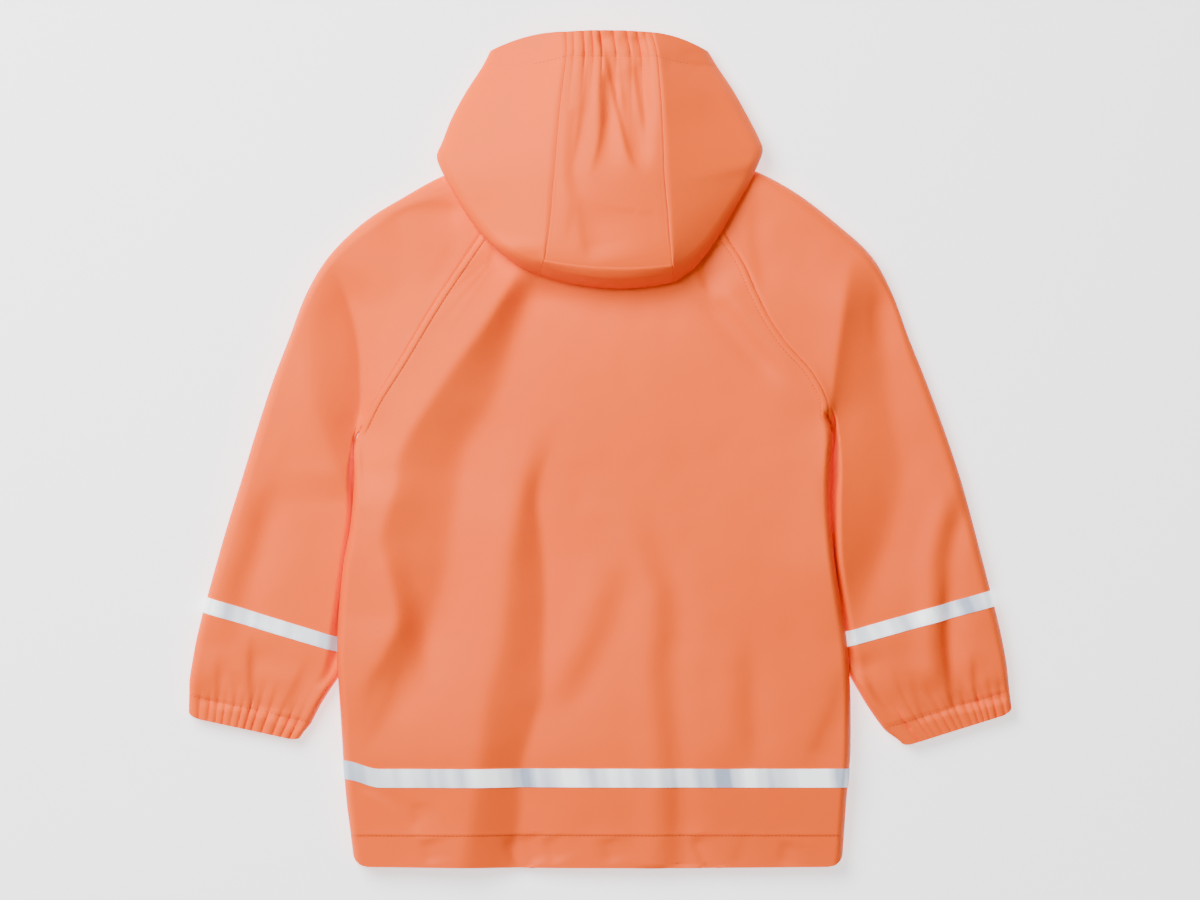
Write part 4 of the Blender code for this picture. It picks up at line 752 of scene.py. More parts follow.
def lower_heights(side, plan, sections, places, inner_way, width):
    """Heights of a sleeve's lower layer, which lies on the table but for its edges and the neck seam."""
    roll = UNDER_SHARE * sections.roll
    own = FLOOR + (sections.inner_z - FLOOR) * (1 - rounded(inner_way, roll))
    own = np.maximum(own, FLOOR + (FREE_HEIGHT - FLOOR) * (1 - rounded(width - inner_way, roll)))
    heights = own + (lower(plan) - own) * sections.body
    heights = np.maximum(heights, FLOOR + sections.lift * TAPE_LIFT)
    at_neck = np.clip(1 - places / NECK_SECTIONS, 0, 1)[:, None]
    heights += at_neck * np.interp(RING_PLACES, NECK_PLACES, NECK_LIFTS)
    return heights + np.clip(pleated(side, places, inner_way, width), 0, None) * UNDER_PLEAT_SHARE


def make_sleeve(side):
    """A sleeve's rings of points, out on the upper layer and back on the lower one, and their places."""
    table = np.hstack([OUTER_EDGE[side], INNER_EDGE[side], SECTION_SHAPES])
    middle = (table[:, :2] * 2 + table[:, 2:4]) / 3
    gaps = np.linalg.norm(np.diff(middle, axis=0), axis=1)
    counts = np.maximum(2, np.ceil(gaps / SECTION_STEP)).astype(int)
    counts[CUFF_SECTION - 2:] += CUFF_EXTRA_RINGS
    fine, places = refine(table, counts)
    sections = Section(*fine.T[..., None])
    body, tuck, lift = [np.clip(column, 0, 1) for column in (sections.body, sections.tuck, sections.lift)]
    sections = sections._replace(roll=sections.roll * ROLL_SHARE, body=body, tuck=tuck, lift=lift)
    up_way = (table[-2] - table[-1])[:2] / np.linalg.norm((table[-2] - table[-1])[:2])
    layers = []
    for heights_of, seam_path in ((upper_heights, BACK_RAGLAN[side]), (lower_heights, FRONT_RAGLAN[side])):
        plan, distances, width = sleeve_layer(side, seam_path, sections, places)
        heights = heights_of(side, plan, sections, places, distances, width)
        heights[:, 0], heights[:, -1] = sections.inner_z[:, 0], FREE_HEIGHT
        in_corner = 1 - rounded(np.minimum(distances, width - distances), CUFF_CORNER_REACH)
        corner = CUFF_CORNER * in_corner * eased(places - CUFF_SECTION)[:, None]
        layers.append(np.dstack([plan + up_way * corner[..., None], heights]))
    ring = np.concatenate([layers[0], layers[1][:, -2:0:-1]], axis=1)
    return facing_out(side, ring)[:, ::-1], places


sleeve_grids, sleeve_places, sleeves = {}, {}, {}
for side in SIDES:
    sleeve_grids[side], sleeve_places[side] = make_sleeve(side)
    sleeves[side] = cloth("sleeve_panel_" + side, "sleeve_" + side, sleeve_grids[side], closed=True)

# --- The hood's sides ---------------------------------------------------------------------------
# Two pieces that fold over at the hood's outer edge, so that their lower layer runs in to the neck
# seam. At the face edge they are turned under and stitched down as a casing for the elastic.

HOOD_CLEARANCE = 3.2
HOOD_UNDER_ROLL, UNDER_ROLL_SHARE, TOP_ROLL_SHARE = 8.0, 0.3, 0.6
# Seam to the centre strip, outer fold, bend of the lower layer and neck seam of each row, face edge to
# back, then its rise inside the fold and its bow along Y
HOOD_ROWS = {
    "left": [
        (-28.3, 346.3, -90.8, 331.7, 9, -45.8, 270, 1.7, 177.5, 5, 4),
        (-28.3, 325.8, -98.3, 317.5, 9, -54.2, 265.8, -16.7, 179.2, 5, -3),
        (-32.5, 292.5, -111.7, 296.7, 10, -66.7, 259.2, -33.3, 184.2, 6, 0),
        (-35, 267.5, -123.3, 275, 12, -75.8, 255.8, -47.5, 192.5, 6, 0),
        (-36.7, 247.5, -130.8, 255.8, 14, -82.5, 251.7, -60.8, 205.8, 7, 0),
        (-37.9, 230.8, -135.4, 244.2, 16, -90.7, 249.2, -73.3, 222.5, 7, 0),
        (-39.2, 219.2, -132.5, 234.2, 18, -93, 251.5, -83.3, 246.9, 8, 0),
        (-40, 209.2, -128.3, 225.8, 20, -99, 234, -74.6, 235.8, 8, 0),
        (-40.8, 197.5, -121.7, 214.2, 21.5, -94, 221, -65.8, 227.5, 9, 0),
        (-42.1, 185.8, -112.5, 198.3, 23, -85, 211, -58.3, 224.2, 10, 0),
        (-43.3, 175.8, -99.2, 180, 25, -75, 200, -50.8, 221.6, 12, 0),
        (-44.6, 167.5, -84.2, 165, 29, -64, 192, -43.3, 219.2, 15, 0),
        (-45.4, 161.7, -66.7, 151.7, 28.5, -51, 185, -35.8, 217.5, 12, 0),
        (-46.7, 156.5, -50, 145, 27, -39, 181, -28.3, 216.7, 12, 0),
    ],
    "right": [
        (43.3, 345.8, 90, 330.8, 9, 54.2, 270, 6.7, 177.5, 5, 3),
        (47.9, 325.8, 97.5, 318.3, 9, 62.6, 265.8, 25.1, 179.2, 5, -2),
        (50.8, 292.5, 110.8, 298.3, 10, 75.1, 259.2, 41.7, 184.2, 6, 0),
        (52.1, 267.5, 123.3, 275.8, 12, 84.2, 255.8, 55.9, 192.5, 6, 0),
        (52.9, 247.5, 132.5, 257.5, 14, 91.5, 251.7, 69.2, 205.8, 7, 0),
        (53.3, 230.8, 135, 248.3, 16, 100, 247.7, 81.7, 222.5, 7, 0),
        (54.2, 219.2, 131.7, 238.3, 18, 103, 253, 94.3, 246.9, 8, 0),
        (55, 209.2, 127.9, 230, 19.5, 108, 234.5, 83.3, 235.5, 6, 0),
        (56.3, 197.5, 121.7, 217.5, 20.5, 98, 222, 73.3, 226.7, 6, 0),
        (57.1, 185.8, 113.3, 203.3, 21.5, 90, 214, 66, 224, 6.5, 0),
        (57.9, 175.8, 102.5, 184.2, 22, 80, 203, 58.5, 221.6, 7.5, 0),
        (58.8, 167.5, 91.7, 167.5, 22.5, 70, 194, 51, 219.2, 9, 0),
        (59.6, 160, 77.5, 150, 23.5, 59, 185, 44, 217.5, 10.5, 0),
        (60.4, 152.5, 61.7, 139.2, 25, 48, 180, 36.7, 216.7, 12, 0),
    ],
}
# Height of each row's seam, roll of its fold, and how far its lower layer lies on the back
HOOD_SHAPES = [(34, 9, 0), (42, 9, 0), (50, 9, 0), (53, 9, 0), (55, 9, 0), (56, 9, 0), (56, 9, 0.35),
               (56, 9, 1), (56, 10, 1), (56, 10, 1), (56, 11, 1), (55.5, 12, 1), (54.6, 13, 1),
               (53, 14, 1)]
HoodRow = namedtuple("HoodRow", "seam_x seam_y fold_x fold_y fold_z bend_x bend_y neck_x neck_y rise bow"
                                " seam_z roll over")
HOOD_COUNTS = (9, 13, 10, 8, 7, 5, 4, 5, 5, 4, 4, 3, 3)
HOOD_FINE_ROLL = np.array([0, 0.02, 0.07, 0.134, 0.22, 0.34, 0.5, 0.72, 1])
HOOD_TOP_STEPS, HOOD_BEND_STEPS = 30, 10
HOOD_CREASES = {
    "left": [
        (0.9, 10, 4, 0.4, 0.3, [(-96.7, 267.5), (-66.7, 305.8), (-45.8, 322.5)]),
        (0.7, 5, 2, 0.3, 0.3, [(-56.7, 322.5), (-50, 340.8)]),
        (0.6, 8, 3, 0.4, 0.3, [(-83.3, 177.5), (-101.7, 195), (-108.3, 215.8)]),
    ],
    "right": [
        (0.8, 4, 1.5, 0.4, 0.3, [(52.5, 309.2), (51.7, 332.5)]),
        (0.9, 5, 1.5, 0.3, 0.3, [(80.8, 305.8), (70, 317.5), (63.3, 330.8)]),
        (0.6, 9, 4, 0.4, 0.3, [(78.3, 265.8), (83.3, 295), (75, 324.2)]),
    ],
}
HOOD_WAVES, HOOD_GATHERS = [(0.5, 50, 1, 3.5)], [(0.8, 6, 0.25, 6.5)]
HOOD_CALM = 12.0      # band at the fold in which creases and waves fade out
GATHER_WIDTH, GATHER_REACH = 26.0, 9.0
CASING_ROW, CASING_LENGTH = 1, 22.0   # row of the casing's stitches, and its distance from the face edge
CASING_LIFT, CASING_START, CASING_STEP = 0.5, -0.5, 2.0
NECK_SETTLE, NECK_DROP, FULLY_OVER = 8.0, 0.5, 0.99


def from_casing(places):
    """Distance of hood rows from the casing's stitches, positive towards the back of the hood."""
    return (places - CASING_ROW)[:, None] * CASING_LENGTH


def hood_top(side, row, seam, fold, places):
    """Points of a hood side's upper layer, row by row from the seam to the outer fold."""
    length = np.linalg.norm(fold - seam, axis=1)[:, None]
    reach = np.minimum(row.roll, TOP_ROLL_SHARE * length)
    far = reach + (length - reach) * np.linspace(0, 1, HOOD_TOP_STEPS + 1)[1:]
    distances = np.hstack([reach * HOOD_FINE_ROLL, far])[:, ::-1]
    t = np.clip(1 - distances / length, 0, 1)
    plan = seam[:, None] + (fold - seam)[:, None] * t[..., None]
    plan[..., 1] += row.bow * 4 * t * (1 - t)
    line = row.seam_z + (row.fold_z + row.rise - row.seam_z) * t
    heights = row.fold_z + (line - row.fold_z) * rounded(distances, row.roll)
    from_seam, casing = length - distances, from_casing(places)
    gathers = uneven(plan, HOOD_GATHERS) * np.exp(-from_seam / GATHER_WIDTH - np.abs(casing) / GATHER_REACH)
    turned = CASING_LIFT * (1 - eased((casing - CASING_START) / CASING_STEP))
    relief = creased(plan, HOOD_CREASES[side]) + uneven(plan, HOOD_WAVES) + turned + gathers
    heights += relief * eased(distances / HOOD_CALM) - groove(from_seam) - stitch_dent(casing, CASING_DENT)
    return np.dstack([plan, heights])


def hood_underside(row, fold, bend, neck):
    """Points of a hood side's lower layer, on from the outer fold round the bend to the neck seam."""
    to_bend = np.linalg.norm(bend - fold, axis=1)[:, None]
    to_neck = np.linalg.norm(neck - bend, axis=1)[:, None]
    reach = np.minimum(HOOD_UNDER_ROLL, UNDER_ROLL_SHARE * (to_bend + to_neck))
    even = np.linspace(0, 1, HOOD_BEND_STEPS)
    steps = np.hstack([reach * HOOD_FINE_ROLL[1:-1], reach + (to_bend - reach) * even[:-1],
                       to_bend + to_neck * even])
    first = np.clip(steps / to_bend, 0, 1)[..., None]
    second = np.clip((steps - to_bend) / to_neck, 0, 1)[..., None]
    plan = fold[:, None] + (bend - fold)[:, None] * first + (neck - bend)[:, None] * second
    over = np.clip(row.over, 0, 1)
    resting = FLOOR + (upper(plan) + HOOD_CLEARANCE - FLOOR) * over
    heights = row.fold_z + (resting - row.fold_z) * rounded(steps, reach)
    heights = np.where(over > FULLY_OVER, np.maximum(heights, resting), heights)
    front_neck = FLOOR + (FREE_HEIGHT - NECK_DROP - FLOOR) * over * 2
    neck_z = np.where(over > 0.5, upper(plan[:, -1:]) + NECK_LIFT, front_neck)
    settle = np.clip(1 - (steps[:, -1:] - steps) / NECK_SETTLE, 0, 1)
    return np.dstack([plan, heights + (neck_z - heights[:, -1:]) * settle])


def make_hood_side(side):
    """A hood side's grid of points, from the seam round to the neck, and the places of its rows."""
    fine, places = refine(np.hstack([HOOD_ROWS[side], HOOD_SHAPES]), HOOD_COUNTS)
    row = HoodRow(*fine.T[..., None])
    seam, fold = np.hstack([row.seam_x, row.seam_y]), np.hstack([row.fold_x, row.fold_y])
    bend, neck = np.hstack([row.bend_x, row.bend_y]), np.hstack([row.neck_x, row.neck_y])
    layers = [hood_top(side, row, seam, fold, places), hood_underside(row, fold, bend, neck)]
    return np.concatenate(layers, axis=1), places


hood_grids, hood_sides = {}, {}
for side in SIDES:
    hood_grids[side], hood_places = make_hood_side(side)
    hood_sides[side] = cloth("hood_panel_" + side, "hood_side_" + side, hood_grids[side][::-1])

# --- The hood's centre strip --------------------------------------------------------------------
# One long strip between the two sides, from the face edge over the back of the head to the neck
# seam. The elastic in its casing draws the face edge into gathers, which run out down the strip.

CENTRE_BULGE, CENTRE_BOW, NECK_BOW, FACE_BOW = 4.0, 8.0, 1.7, 1.5
BOW_START = 4         # place of the row from which the strip bows towards the hem
CENTRE_COLUMNS = np.concatenate([[0, 0.006, 0.014, 0.025, 0.04], np.linspace(0.06, 0.94, 62),
                                 [0.96, 0.975, 0.986, 0.994, 1]])
CENTRE_FOLDS = [
    (1.4, 6, 0.3, 0.35, [(2, 250), (4, 300), (3, 340)]),
    (1.2, 7, 0.3, 0.1, [(-15, 190), (-28, 231), (-26, 285)]),
    (1.5, 7, 0.3, 0.1, [(32, 225), (26, 270), (25, 322)]),
]
CENTRE_CREASES = [
    (4.8, 9, 1, 0.35, 0.2, [(-10, 222.5), (-2.5, 249.2), (0, 270.8), (0, 295), (0.8, 320.8)]),
    (3.8, 6, 0.7, 0.25, 0.08, [(36.7, 222.5), (24.2, 240), (15.8, 270), (9.2, 299.2), (3.3, 324.2),
                               (-5, 346.7)]),
    (2.8, 6, 0.8, 0.35, 0.1, [(20.8, 267.5), (17.5, 295), (14.2, 324.2), (14.2, 345.8)]),
    (3.6, 7, 1, 0.35, 0.1, [(36.7, 252.5), (31.7, 286.7), (25.8, 324.2), (25, 345.8)]),
    (2.8, 7, 1.2, 0.4, 0.1, [(-28.3, 222.5), (-20.8, 253.3), (-15.8, 286.7), (-13.3, 324.2), (-12.5, 345.8)]),
    (3.2, 14, 2.5, 0.25, 0.6, [(-11.7, 150.8), (-16.7, 177.5), (-18.3, 200.8), (-13.3, 220.8)]),
    (0.9, 7, 2, 0.4, 0.4, [(-31.7, 165.8), (-26.7, 190.8), (-23.3, 210.8)]),
    (1, 4, 1.5, 0.5, 0.05, [(41.7, 297.5), (38.3, 324.2)]),
]
CENTRE_WAVES = [(0.4, 30, 1, 9.5)]
CENTRE_PLEATS = (0.0, 0.08, 0.207, 0.304, 0.39, 0.554, 0.707, 0.83, 0.92, 1.0)
GATHER_DEPTH, GATHER_SHARPNESS, GATHER_SHARE, GATHER_SHARES = 3.8, 0.38, 0.12, (0.5, 1.1)
GATHER_START, GATHER_ONSET, GATHER_LEAD, GATHER_LEAD_SHARE = 2.0, 4.0, 15.0, 0.8
CENTRE_CASING_LIFT, CENTRE_GROOVE = 0.6, 2.0
EDGE_LIFT, EDGE_START, EDGE_STEP = 0.5, 1.2, 1.2      # of the turning beside each seam
FOLD_SLOPE, GATHER_SLOPE = 6, 8       # how steeply folds and gathers set in beside the seams
ROWS_TO_FOLD, ROWS_TO_NECK, ROWS_TO_FACE = 10, 4, 2   # rows over which the strip meets the sides' lines


def make_centre():
    """The strip's grid of points, from the face edge over the fold at the back down to the neck seam."""
    start, end = [np.vstack([hood_grids[side][:, 0], hood_grids[side][-1, 1:]]) for side in SIDES]
    t = CENTRE_COLUMNS
    grid = start[:, None] + (end - start)[:, None] * t[:, None]
    arch, from_side = 4 * t * (1 - t), np.minimum(t, 1 - t)
    number, last = np.arange(len(start)), len(start) - 1
    fold_row = len(hood_places) - 1 + HOOD_TOP_STEPS + len(HOOD_FINE_ROLL) - 1
    first = hood_places.searchsorted(BOW_START)
    bow = CENTRE_BOW * eased((number - first) / (fold_row - 1 - first))
    after = CENTRE_BOW + (NECK_BOW - CENTRE_BOW) * eased((number - fold_row) / (last - fold_row))
    bow = np.where(number <= fold_row, bow, after) - FACE_BOW * np.clip(1 - number / ROWS_TO_FACE, 0, 1)
    grid[..., 1] -= arch * bow[:, None]
    relief = folded(grid, CENTRE_FOLDS) + creased(grid, CENTRE_CREASES) + uneven(grid, CENTRE_WAVES)
    lift = arch * CENTRE_BULGE + relief * eased(FOLD_SLOPE * from_side)
    casing = from_casing(np.append(hood_places, np.full(len(start) - len(hood_places), hood_places[-1])))
    valley, share = valleys(CENTRE_PLEATS, t, GATHER_SHARPNESS)
    valley = valley * GATHER_DEPTH * np.clip(share / GATHER_SHARE, *GATHER_SHARES)
    within = eased((GATHER_START - casing) / GATHER_ONSET)
    lead = np.exp(-np.clip(casing, 0, None) / GATHER_LEAD) * GATHER_LEAD_SHARE * (1 - within)
    sunk = valley * (within + lead) + stitch_dent(casing, CASING_DENT) - CENTRE_CASING_LIFT * within
    edge = np.linalg.norm(end - start, axis=1)[:, None] * from_side
    lift += EDGE_LIFT * (1 - eased((edge - EDGE_START) / EDGE_STEP)) - groove(edge, CENTRE_GROOVE)
    lift -= sunk * eased(GATHER_SLOPE * from_side)
    grid[..., 2] += lift * eased((fold_row - number) / ROWS_TO_FOLD)[:, None]
    past = (number > fold_row)[:, None] & (arch > 0)
    grid[..., 2] = np.where(past, np.maximum(grid[..., 2], upper(grid) + HOOD_CLEARANCE), grid[..., 2])
    settle = np.clip(1 - (last - number) / ROWS_TO_NECK, 0, 1)[:, None]
    grid[..., 2] += (upper(grid[-1:]) + NECK_LIFT - grid[-1:, :, 2]) * settle
    return grid


centre_grid = make_centre()
centre = cloth("hood_centre_strip", "hood_centre", centre_grid[::-1])

# --- The reflective tapes -----------------------------------------------------------------------
# Silver retroreflective tape, 15 mm wide, welded flat round the body and round each sleeve.

TAPE_WALL = 0.5
ON_CLOTH = (WALL + TAPE_WALL) / 2 + 0.02
TAPE_INSET = 2        # front columns left free at the side edge


def reflective_tape_finish():
    """Glass-bead tape with fine cross ribs and a soft metallic lustre; painted reflection in lighter and
    darker streaks along it, in its base colour and in a glow of painted light.
    """
    finish = Finish("silver_reflective_tape")
    run = finish.node("ShaderNodeUVMap", uv_map="run")
    ribs = finish.node("ShaderNodeTexWave", {"Vector": run, "Scale": 260.0, "Distortion": 0.6, "Detail": 1.0},
                       wave_type="BANDS", bands_direction="X")
    beads = finish.noise(scale=2600.0, detail=0.0)
    drawn_out = finish.node("ShaderNodeMapping", {"Vector": run, "Scale": (1, 0.08, 1)})
    bands = finish.node("ShaderNodeTexNoise", {"Vector": drawn_out, "Scale": 26.0, "Detail": 2.5},
                        noise_dimensions="2D")
    # painted reflection: noise drawn out along the tape makes streaks where the base colour, the glow and the
    # gloss run lighter or darker
    painted_reflection_streaks = finish.node("ShaderNodeMapRange", {"Value": bands, "From Min": 0.36, "From Max": 0.60})
    # the emission is painted light: the tape glows, standing in for the bright reflection of a retroreflector
    return finish.set(Base_Color=finish.tinted(painted_reflection_streaks, (0.34, 0.40, 0.52), (0.98, 0.99, 1.0)),
                      Emission_Color=finish.tinted(painted_reflection_streaks, (0.16, 0.18, 0.24), (0.90, 0.95, 1.0)),
                      Emission_Strength=1.05, Metallic=0.25,
                      Roughness=beads * 0.12 + painted_reflection_streaks * -0.10 + 0.38,
                      Normal=finish.bump(ribs, 0.00002, finish.bump(beads, 0.00002)))


TAPE_FINISH = reflective_tape_finish()


def tape_strip(name, node, grid, closed=False):
    """A tape on the rows of cloth that it covers."""
    return cloth(name, node, grid, closed, TAPE_FINISH, TAPE_WALL, ON_CLOTH)


def covered(values, limits, margin):
    """Numbers of the rows whose coordinate lies between two limits."""
    return np.flatnonzero((values >= limits[0] - margin) & (values <= limits[1] + margin))


back_tape = tape_strip("tape_across_back", "tape_back", back_grid[covered(LEVEL_YS, TAPE_LEVELS, 0.01)])
front_tapes, sleeve_tapes = {}, {}
for side in SIDES:
    strip = front_grids[side][covered(LEVEL_YS[::2], TAPE_LEVELS, 1), TAPE_INSET:]
    front_tapes[side] = tape_strip("tape_on_front_" + side, "tape_front_" + side, facing_out(side, strip))
for side in SIDES:
    strip = sleeve_grids[side][covered(sleeve_places[side], TAPE_SECTIONS, 0.001)]
    sleeve_tapes[side] = tape_strip("tape_round_sleeve_" + side, "tape_sleeve_" + side, strip, closed=True)

# --- The stitching ------------------------------------------------------------------------------
# Coral thread, about eight stitches to 25 mm: beside the raglan seams, along the hem and the cuffs,
# and under the hood's casing. Each stitch is a short bulging length of thread laid on the cloth.

STITCH_SIZES = {"Pitch": 0.0032, "Stitch Length": 0.0021, "Thread Width": 0.00060}     # in metres
THREAD_OFFSET = WALL / 2 - 0.05
RAGLAN_RUN, HEM_END_COLUMNS = (0.02, 0.985, 120), 4     # fractions and points of the raglan stitches
CASING_REACH = 26.0   # how far the casing's stitches show on each side piece, in from the strip


def thread_finish():
    """Twisted polyester thread, darker than the cloth: the darkness is painted shade, standing in for the
    shade in the stitches' grooves and needle holes.
    """
    finish = Finish("coral_thread")
    twist = finish.noise(scale=3000.0, detail=1.0)
    # painted shade: the thread's dark colour gives the stitch lines the shade of their grooves
    colour = finish.tinted(twist, (0.50, 0.045, 0.002), (0.66, 0.065, 0.003))
    return finish.set(Base_Color=colour, Roughness=0.6)


def stitch_tree():
    """Stitches on a line of points that carry the cloth's outward direction."""
    tree = bpy.data.node_groups.new("stitches_along_a_seam", "GeometryNodeTree")
    tree.interface.new_socket("Seam", in_out="INPUT", socket_type="NodeSocketGeometry")
    for name in STITCH_SIZES:
        tree.interface.new_socket(name, in_out="INPUT", socket_type="NodeSocketFloat")
    tree.interface.new_socket("Thread", in_out="INPUT", socket_type="NodeSocketMaterial")
    tree.interface.new_socket("Stitches", in_out="OUTPUT", socket_type="NodeSocketGeometry")

    def given(name):
        return add_node(tree, "NodeGroupInput", output=name)

    curve = add_node(tree, "GeometryNodeMeshToCurve", {"Mesh": given("Seam")})
    spaced = add_node(tree, "GeometryNodeResampleCurve", {"Curve": curve, "Length": given("Pitch")},
                      mode="LENGTH")
    outward = add_node(tree, "GeometryNodeInputNamedAttribute", {"Name": "outward"}, data_type="FLOAT_VECTOR")
    turned = add_node(tree, "FunctionNodeAlignRotationToVector",
                      {"Vector": add_node(tree, "GeometryNodeInputTangent")}, axis="X")
    turned = add_node(tree, "FunctionNodeAlignRotationToVector", {"Rotation": turned, "Vector": outward},
                      axis="Z", pivot_axis="X")
    bead = add_node(tree, "GeometryNodeMeshUVSphere", {"Segments": 6, "Rings": 5, "Radius": 0.5})
    size = add_node(tree, "ShaderNodeCombineXYZ", {"X": given("Stitch Length"), "Y": given("Thread Width"),
                                                   "Z": given("Thread Width")})
    copies = add_node(tree, "GeometryNodeInstanceOnPoints",
                      {"Points": spaced, "Instance": bead, "Rotation": turned, "Scale": size})
    real = add_node(tree, "GeometryNodeRealizeInstances", {"Geometry": copies})
    smooth = add_node(tree, "GeometryNodeSetShadeSmooth", {"Geometry": real})
    threaded = add_node(tree, "GeometryNodeSetMaterial", {"Geometry": smooth, "Material": given("Thread")})
    add_node(tree, "NodeGroupOutput", {"Stitches": threaded})
    return tree


THREAD, STITCHES = thread_finish(), stitch_tree()


def stitched(name, lines):
    """Stitches along lines of points and outward directions, made into one plain mesh."""
    points, edges, outward = [], [], []
    for line, directions in lines:
        edges += [(len(points) + i, len(points) + i + 1) for i in range(len(line) - 1)]
        points += ((line + directions * THREAD_OFFSET - ORIGIN) / 1000).tolist()
        outward += directions.tolist()
    mesh = bpy.data.meshes.new(name + "_line")
    mesh.from_pydata(points, edges, [])
    mesh.attributes.new("outward", "FLOAT_VECTOR", "POINT").data.foreach_set("vector", np.ravel(outward))
    seam = placed(name + "_line", mesh)
    modifier = seam.modifiers.new("stitches", "NODES")
    modifier.node_group = STITCHES
    given = {**STITCH_SIZES, "Thread": THREAD}
    for item in STITCHES.interface.items_tree:
        if item.name in given:
            modifier[item.identifier] = given[item.name]
    plain = bpy.data.meshes.new_from_object(seam.evaluated_get(bpy.context.evaluated_depsgraph_get()))
    plain.name = name
    bpy.data.objects.remove(seam)
    bpy.data.meshes.remove(mesh)
    if not plain.materials:
        plain.materials.append(THREAD)
    piece = placed(name, plain)
    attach(piece, "root")
    return piece


def grid_line(grid, values, wanted, closed=False):
    """Points and outward directions where a row coordinate reaches its value, column by column."""
    row = np.searchsorted(values, wanted)
    share = (wanted - values[row - 1]) / (values[row] - values[row - 1])
    normals = grid_normals(grid, closed)
    line = grid[row - 1] + (grid[row] - grid[row - 1]) * share
    directions = normals[row - 1] + (normals[row] - normals[row - 1]) * share
    return line, directions / np.linalg.norm(directions, axis=1, keepdims=True)


def raglan_line(side):
    """The topstitch on the back, a seam band's width in from the raglan seam."""
    seam = along(BACK_RAGLAN[side], np.linspace(*RAGLAN_RUN))
    way = np.gradient(seam, axis=0)
    way /= np.linalg.norm(way, axis=1, keepdims=True)
    plan = seam + np.stack([way[:, 1], -way[:, 0]], 1) * INWARD[side] * SEAM_BAND
    rows = back_grid[len(LEVEL_YS):]
    flat, normals = rows.reshape(-1, 3), grid_normals(rows, False).reshape(-1, 3)
    nearest = [np.argpartition(np.sum((flat[:, :2] - point)**2, axis=1), 4)[:4] for point in plan]
    weights = [1 / (0.05 + np.linalg.norm(flat[n, :2] - p, axis=1)) for n, p in zip(nearest, plan)]
    heights = [np.sum(flat[n, 2] * w) / np.sum(w) for n, w in zip(nearest, weights)]
    directions = np.array([normals[n].mean(0) for n in nearest])
    directions /= np.linalg.norm(directions, axis=1, keepdims=True)
    return np.column_stack([plan, heights]), directions


def casing_line(grid, ends):
    """The casing's stitches on one piece of the hood, between two columns, facing up."""
    line, outward = grid_line(grid, hood_places, CASING_ROW)
    return line[slice(*ends)], (outward * np.sign(outward[:, 2:]))[slice(*ends)]


raglan_stitches = stitched("raglan_stitches", [raglan_line(side) for side in SIDES])
hem_line = [part[HEM_END_COLUMNS:-HEM_END_COLUMNS] for part in grid_line(back_grid, LEVEL_YS, HEM_STITCH_Y)]
hem_stitches = stitched("hem_stitches", [hem_line])
for side in SIDES:
    cuff_line = grid_line(sleeve_grids[side], sleeve_places[side], CUFF_SECTION, closed=True)
    stitched("cuff_stitches_" + side, [cuff_line])
casing_lines = []
for side in SIDES:
    casing_row = hood_grids[side][hood_places.searchsorted(CASING_ROW), :, :2]
    shown = np.argmax(np.linalg.norm(casing_row - casing_row[0], axis=1) > CASING_REACH)
    casing_lines.append(casing_line(hood_grids[side], (1, shown)))
casing_stitches = stitched("casing_stitches", casing_lines + [casing_line(centre_grid, (2, -2))])

# --- The press studs ----------------------------------------------------------------------------
# Five enamelled caps down the placket, each riveted through the outer layer; the solids' own shape
# is right, so they only take a finish.


def stud_finish():
    """Enamel, smoother and a little darker than the cloth."""
    finish = Finish("coral_enamel_cap")
    cloud = finish.noise(scale=700.0, detail=2.0)
    return finish.set(Base_Color=finish.tinted(cloud, (0.86, 0.11, 0.004), (0.95, 0.13, 0.008)),
                      Roughness=cloud * 0.08 + 0.26)


STUD_ENAMEL = stud_finish()
for number in range(1, 6):
    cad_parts[f"stud_{number}"].material_slots[0].material = STUD_ENAMEL

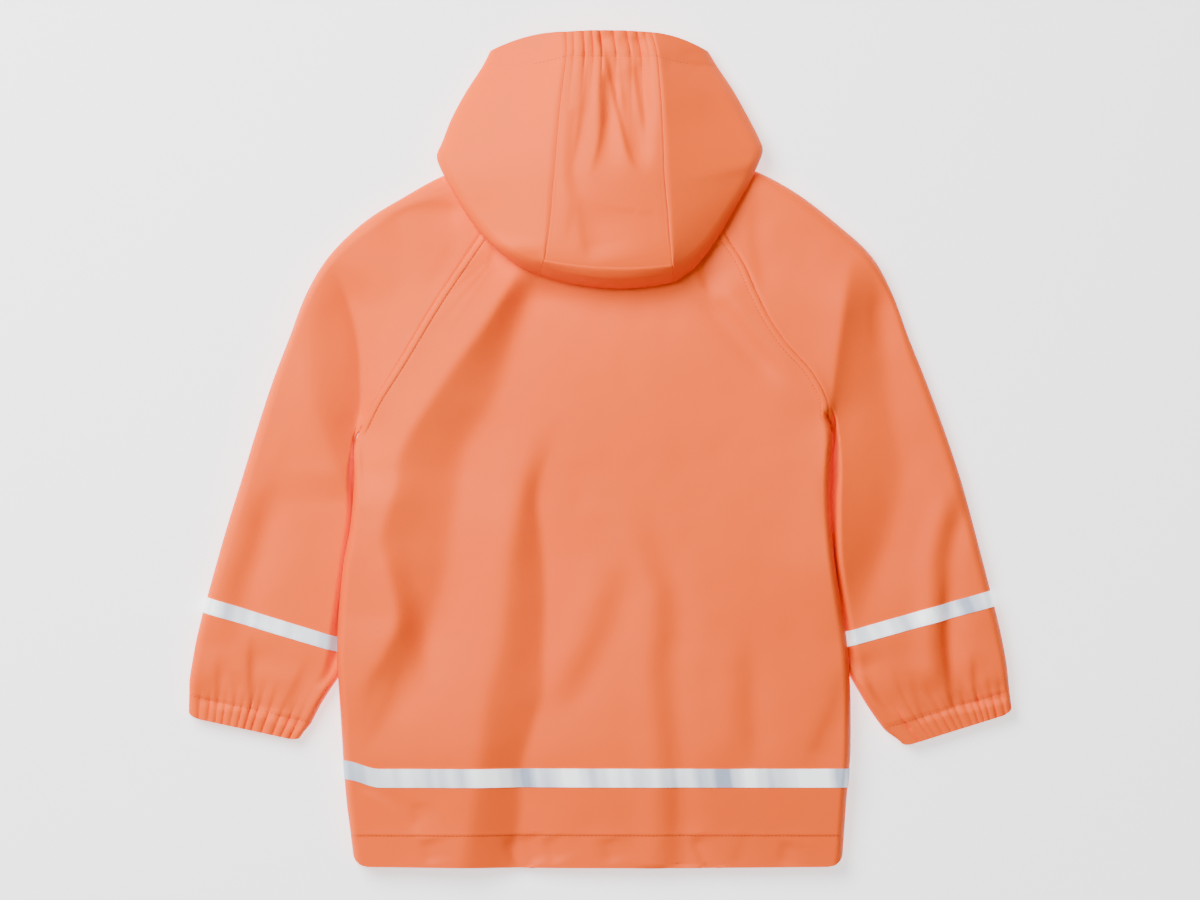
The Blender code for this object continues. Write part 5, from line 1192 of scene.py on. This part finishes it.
# --- The table, the light and the camera --------------------------------------------------------
# A plain pale table top under a wide overhead light, with the main light from beyond the hood's
# left and the camera straight above, so that the hood is at the top of the frame.

CAMERA_LENS, CAMERA_SENSOR, CAMERA_WIDTH, CAMERA_LEVEL = 200.0, 36.0, 1.0, 0.012
CAMERA_AIM = (-0.0001, -0.00013)
FLOOR_SIZE, FLOOR_GLOW, WORLD_LIGHT = 12.0, 1.35, 0.25
LIT_POINT = (0, 0, 0.02)


def light(name, place, size, power):
    """A round lamp that faces the jacket."""
    lamp = bpy.data.lights.new(name, "AREA")
    lamp.shape, lamp.size, lamp.energy = "DISK", size, power
    holder = placed(name, lamp)
    holder.location = place
    holder.rotation_euler = (Vector(LIT_POINT) - Vector(place)).to_track_quat("-Z", "Y").to_euler()


def table_finish():
    """A pale, evenly lit surface."""
    finish = Finish("pale_table_top")
    cloud = finish.noise(scale=3.0, detail=2.0)
    return finish.set(Base_Color=finish.tinted(cloud, (0.92, 0.92, 0.92), (0.95, 0.95, 0.95)),
                      Roughness=0.9, Emission_Color=(1, 1, 1, 1), Emission_Strength=FLOOR_GLOW)


table_mesh = bpy.data.meshes.new("table_top")
half = FLOOR_SIZE / 2
corners = [(-half, -half, 0), (half, -half, 0), (half, half, 0), (-half, half, 0)]
table_mesh.from_pydata(corners, [], [(0, 1, 2, 3)])
table_mesh.materials.append(table_finish())
table_top = placed("table_top", table_mesh)

world = bpy.data.worlds.new("soft_studio")
world.use_nodes = True
background = world.node_tree.nodes["Background"]
fill(world.node_tree, background.inputs, {"Color": (1, 1, 1, 1), "Strength": WORLD_LIGHT})
bpy.context.scene.world = world
light("main_light", place=(-1.1, 1.0, 1.75), size=1.7, power=126)
light("overhead_light", place=(0.2, 0.0, 2.2), size=1.5, power=6)

camera = bpy.data.cameras.new("camera")
camera.lens, camera.sensor_width = CAMERA_LENS, CAMERA_SENSOR
camera.clip_start, camera.clip_end = 0.1, 50.0
holder = placed("camera", camera)
holder.location = (*CAMERA_AIM, CAMERA_LEVEL + CAMERA_WIDTH * CAMERA_LENS / CAMERA_SENSOR)
bpy.context.scene.camera = holder
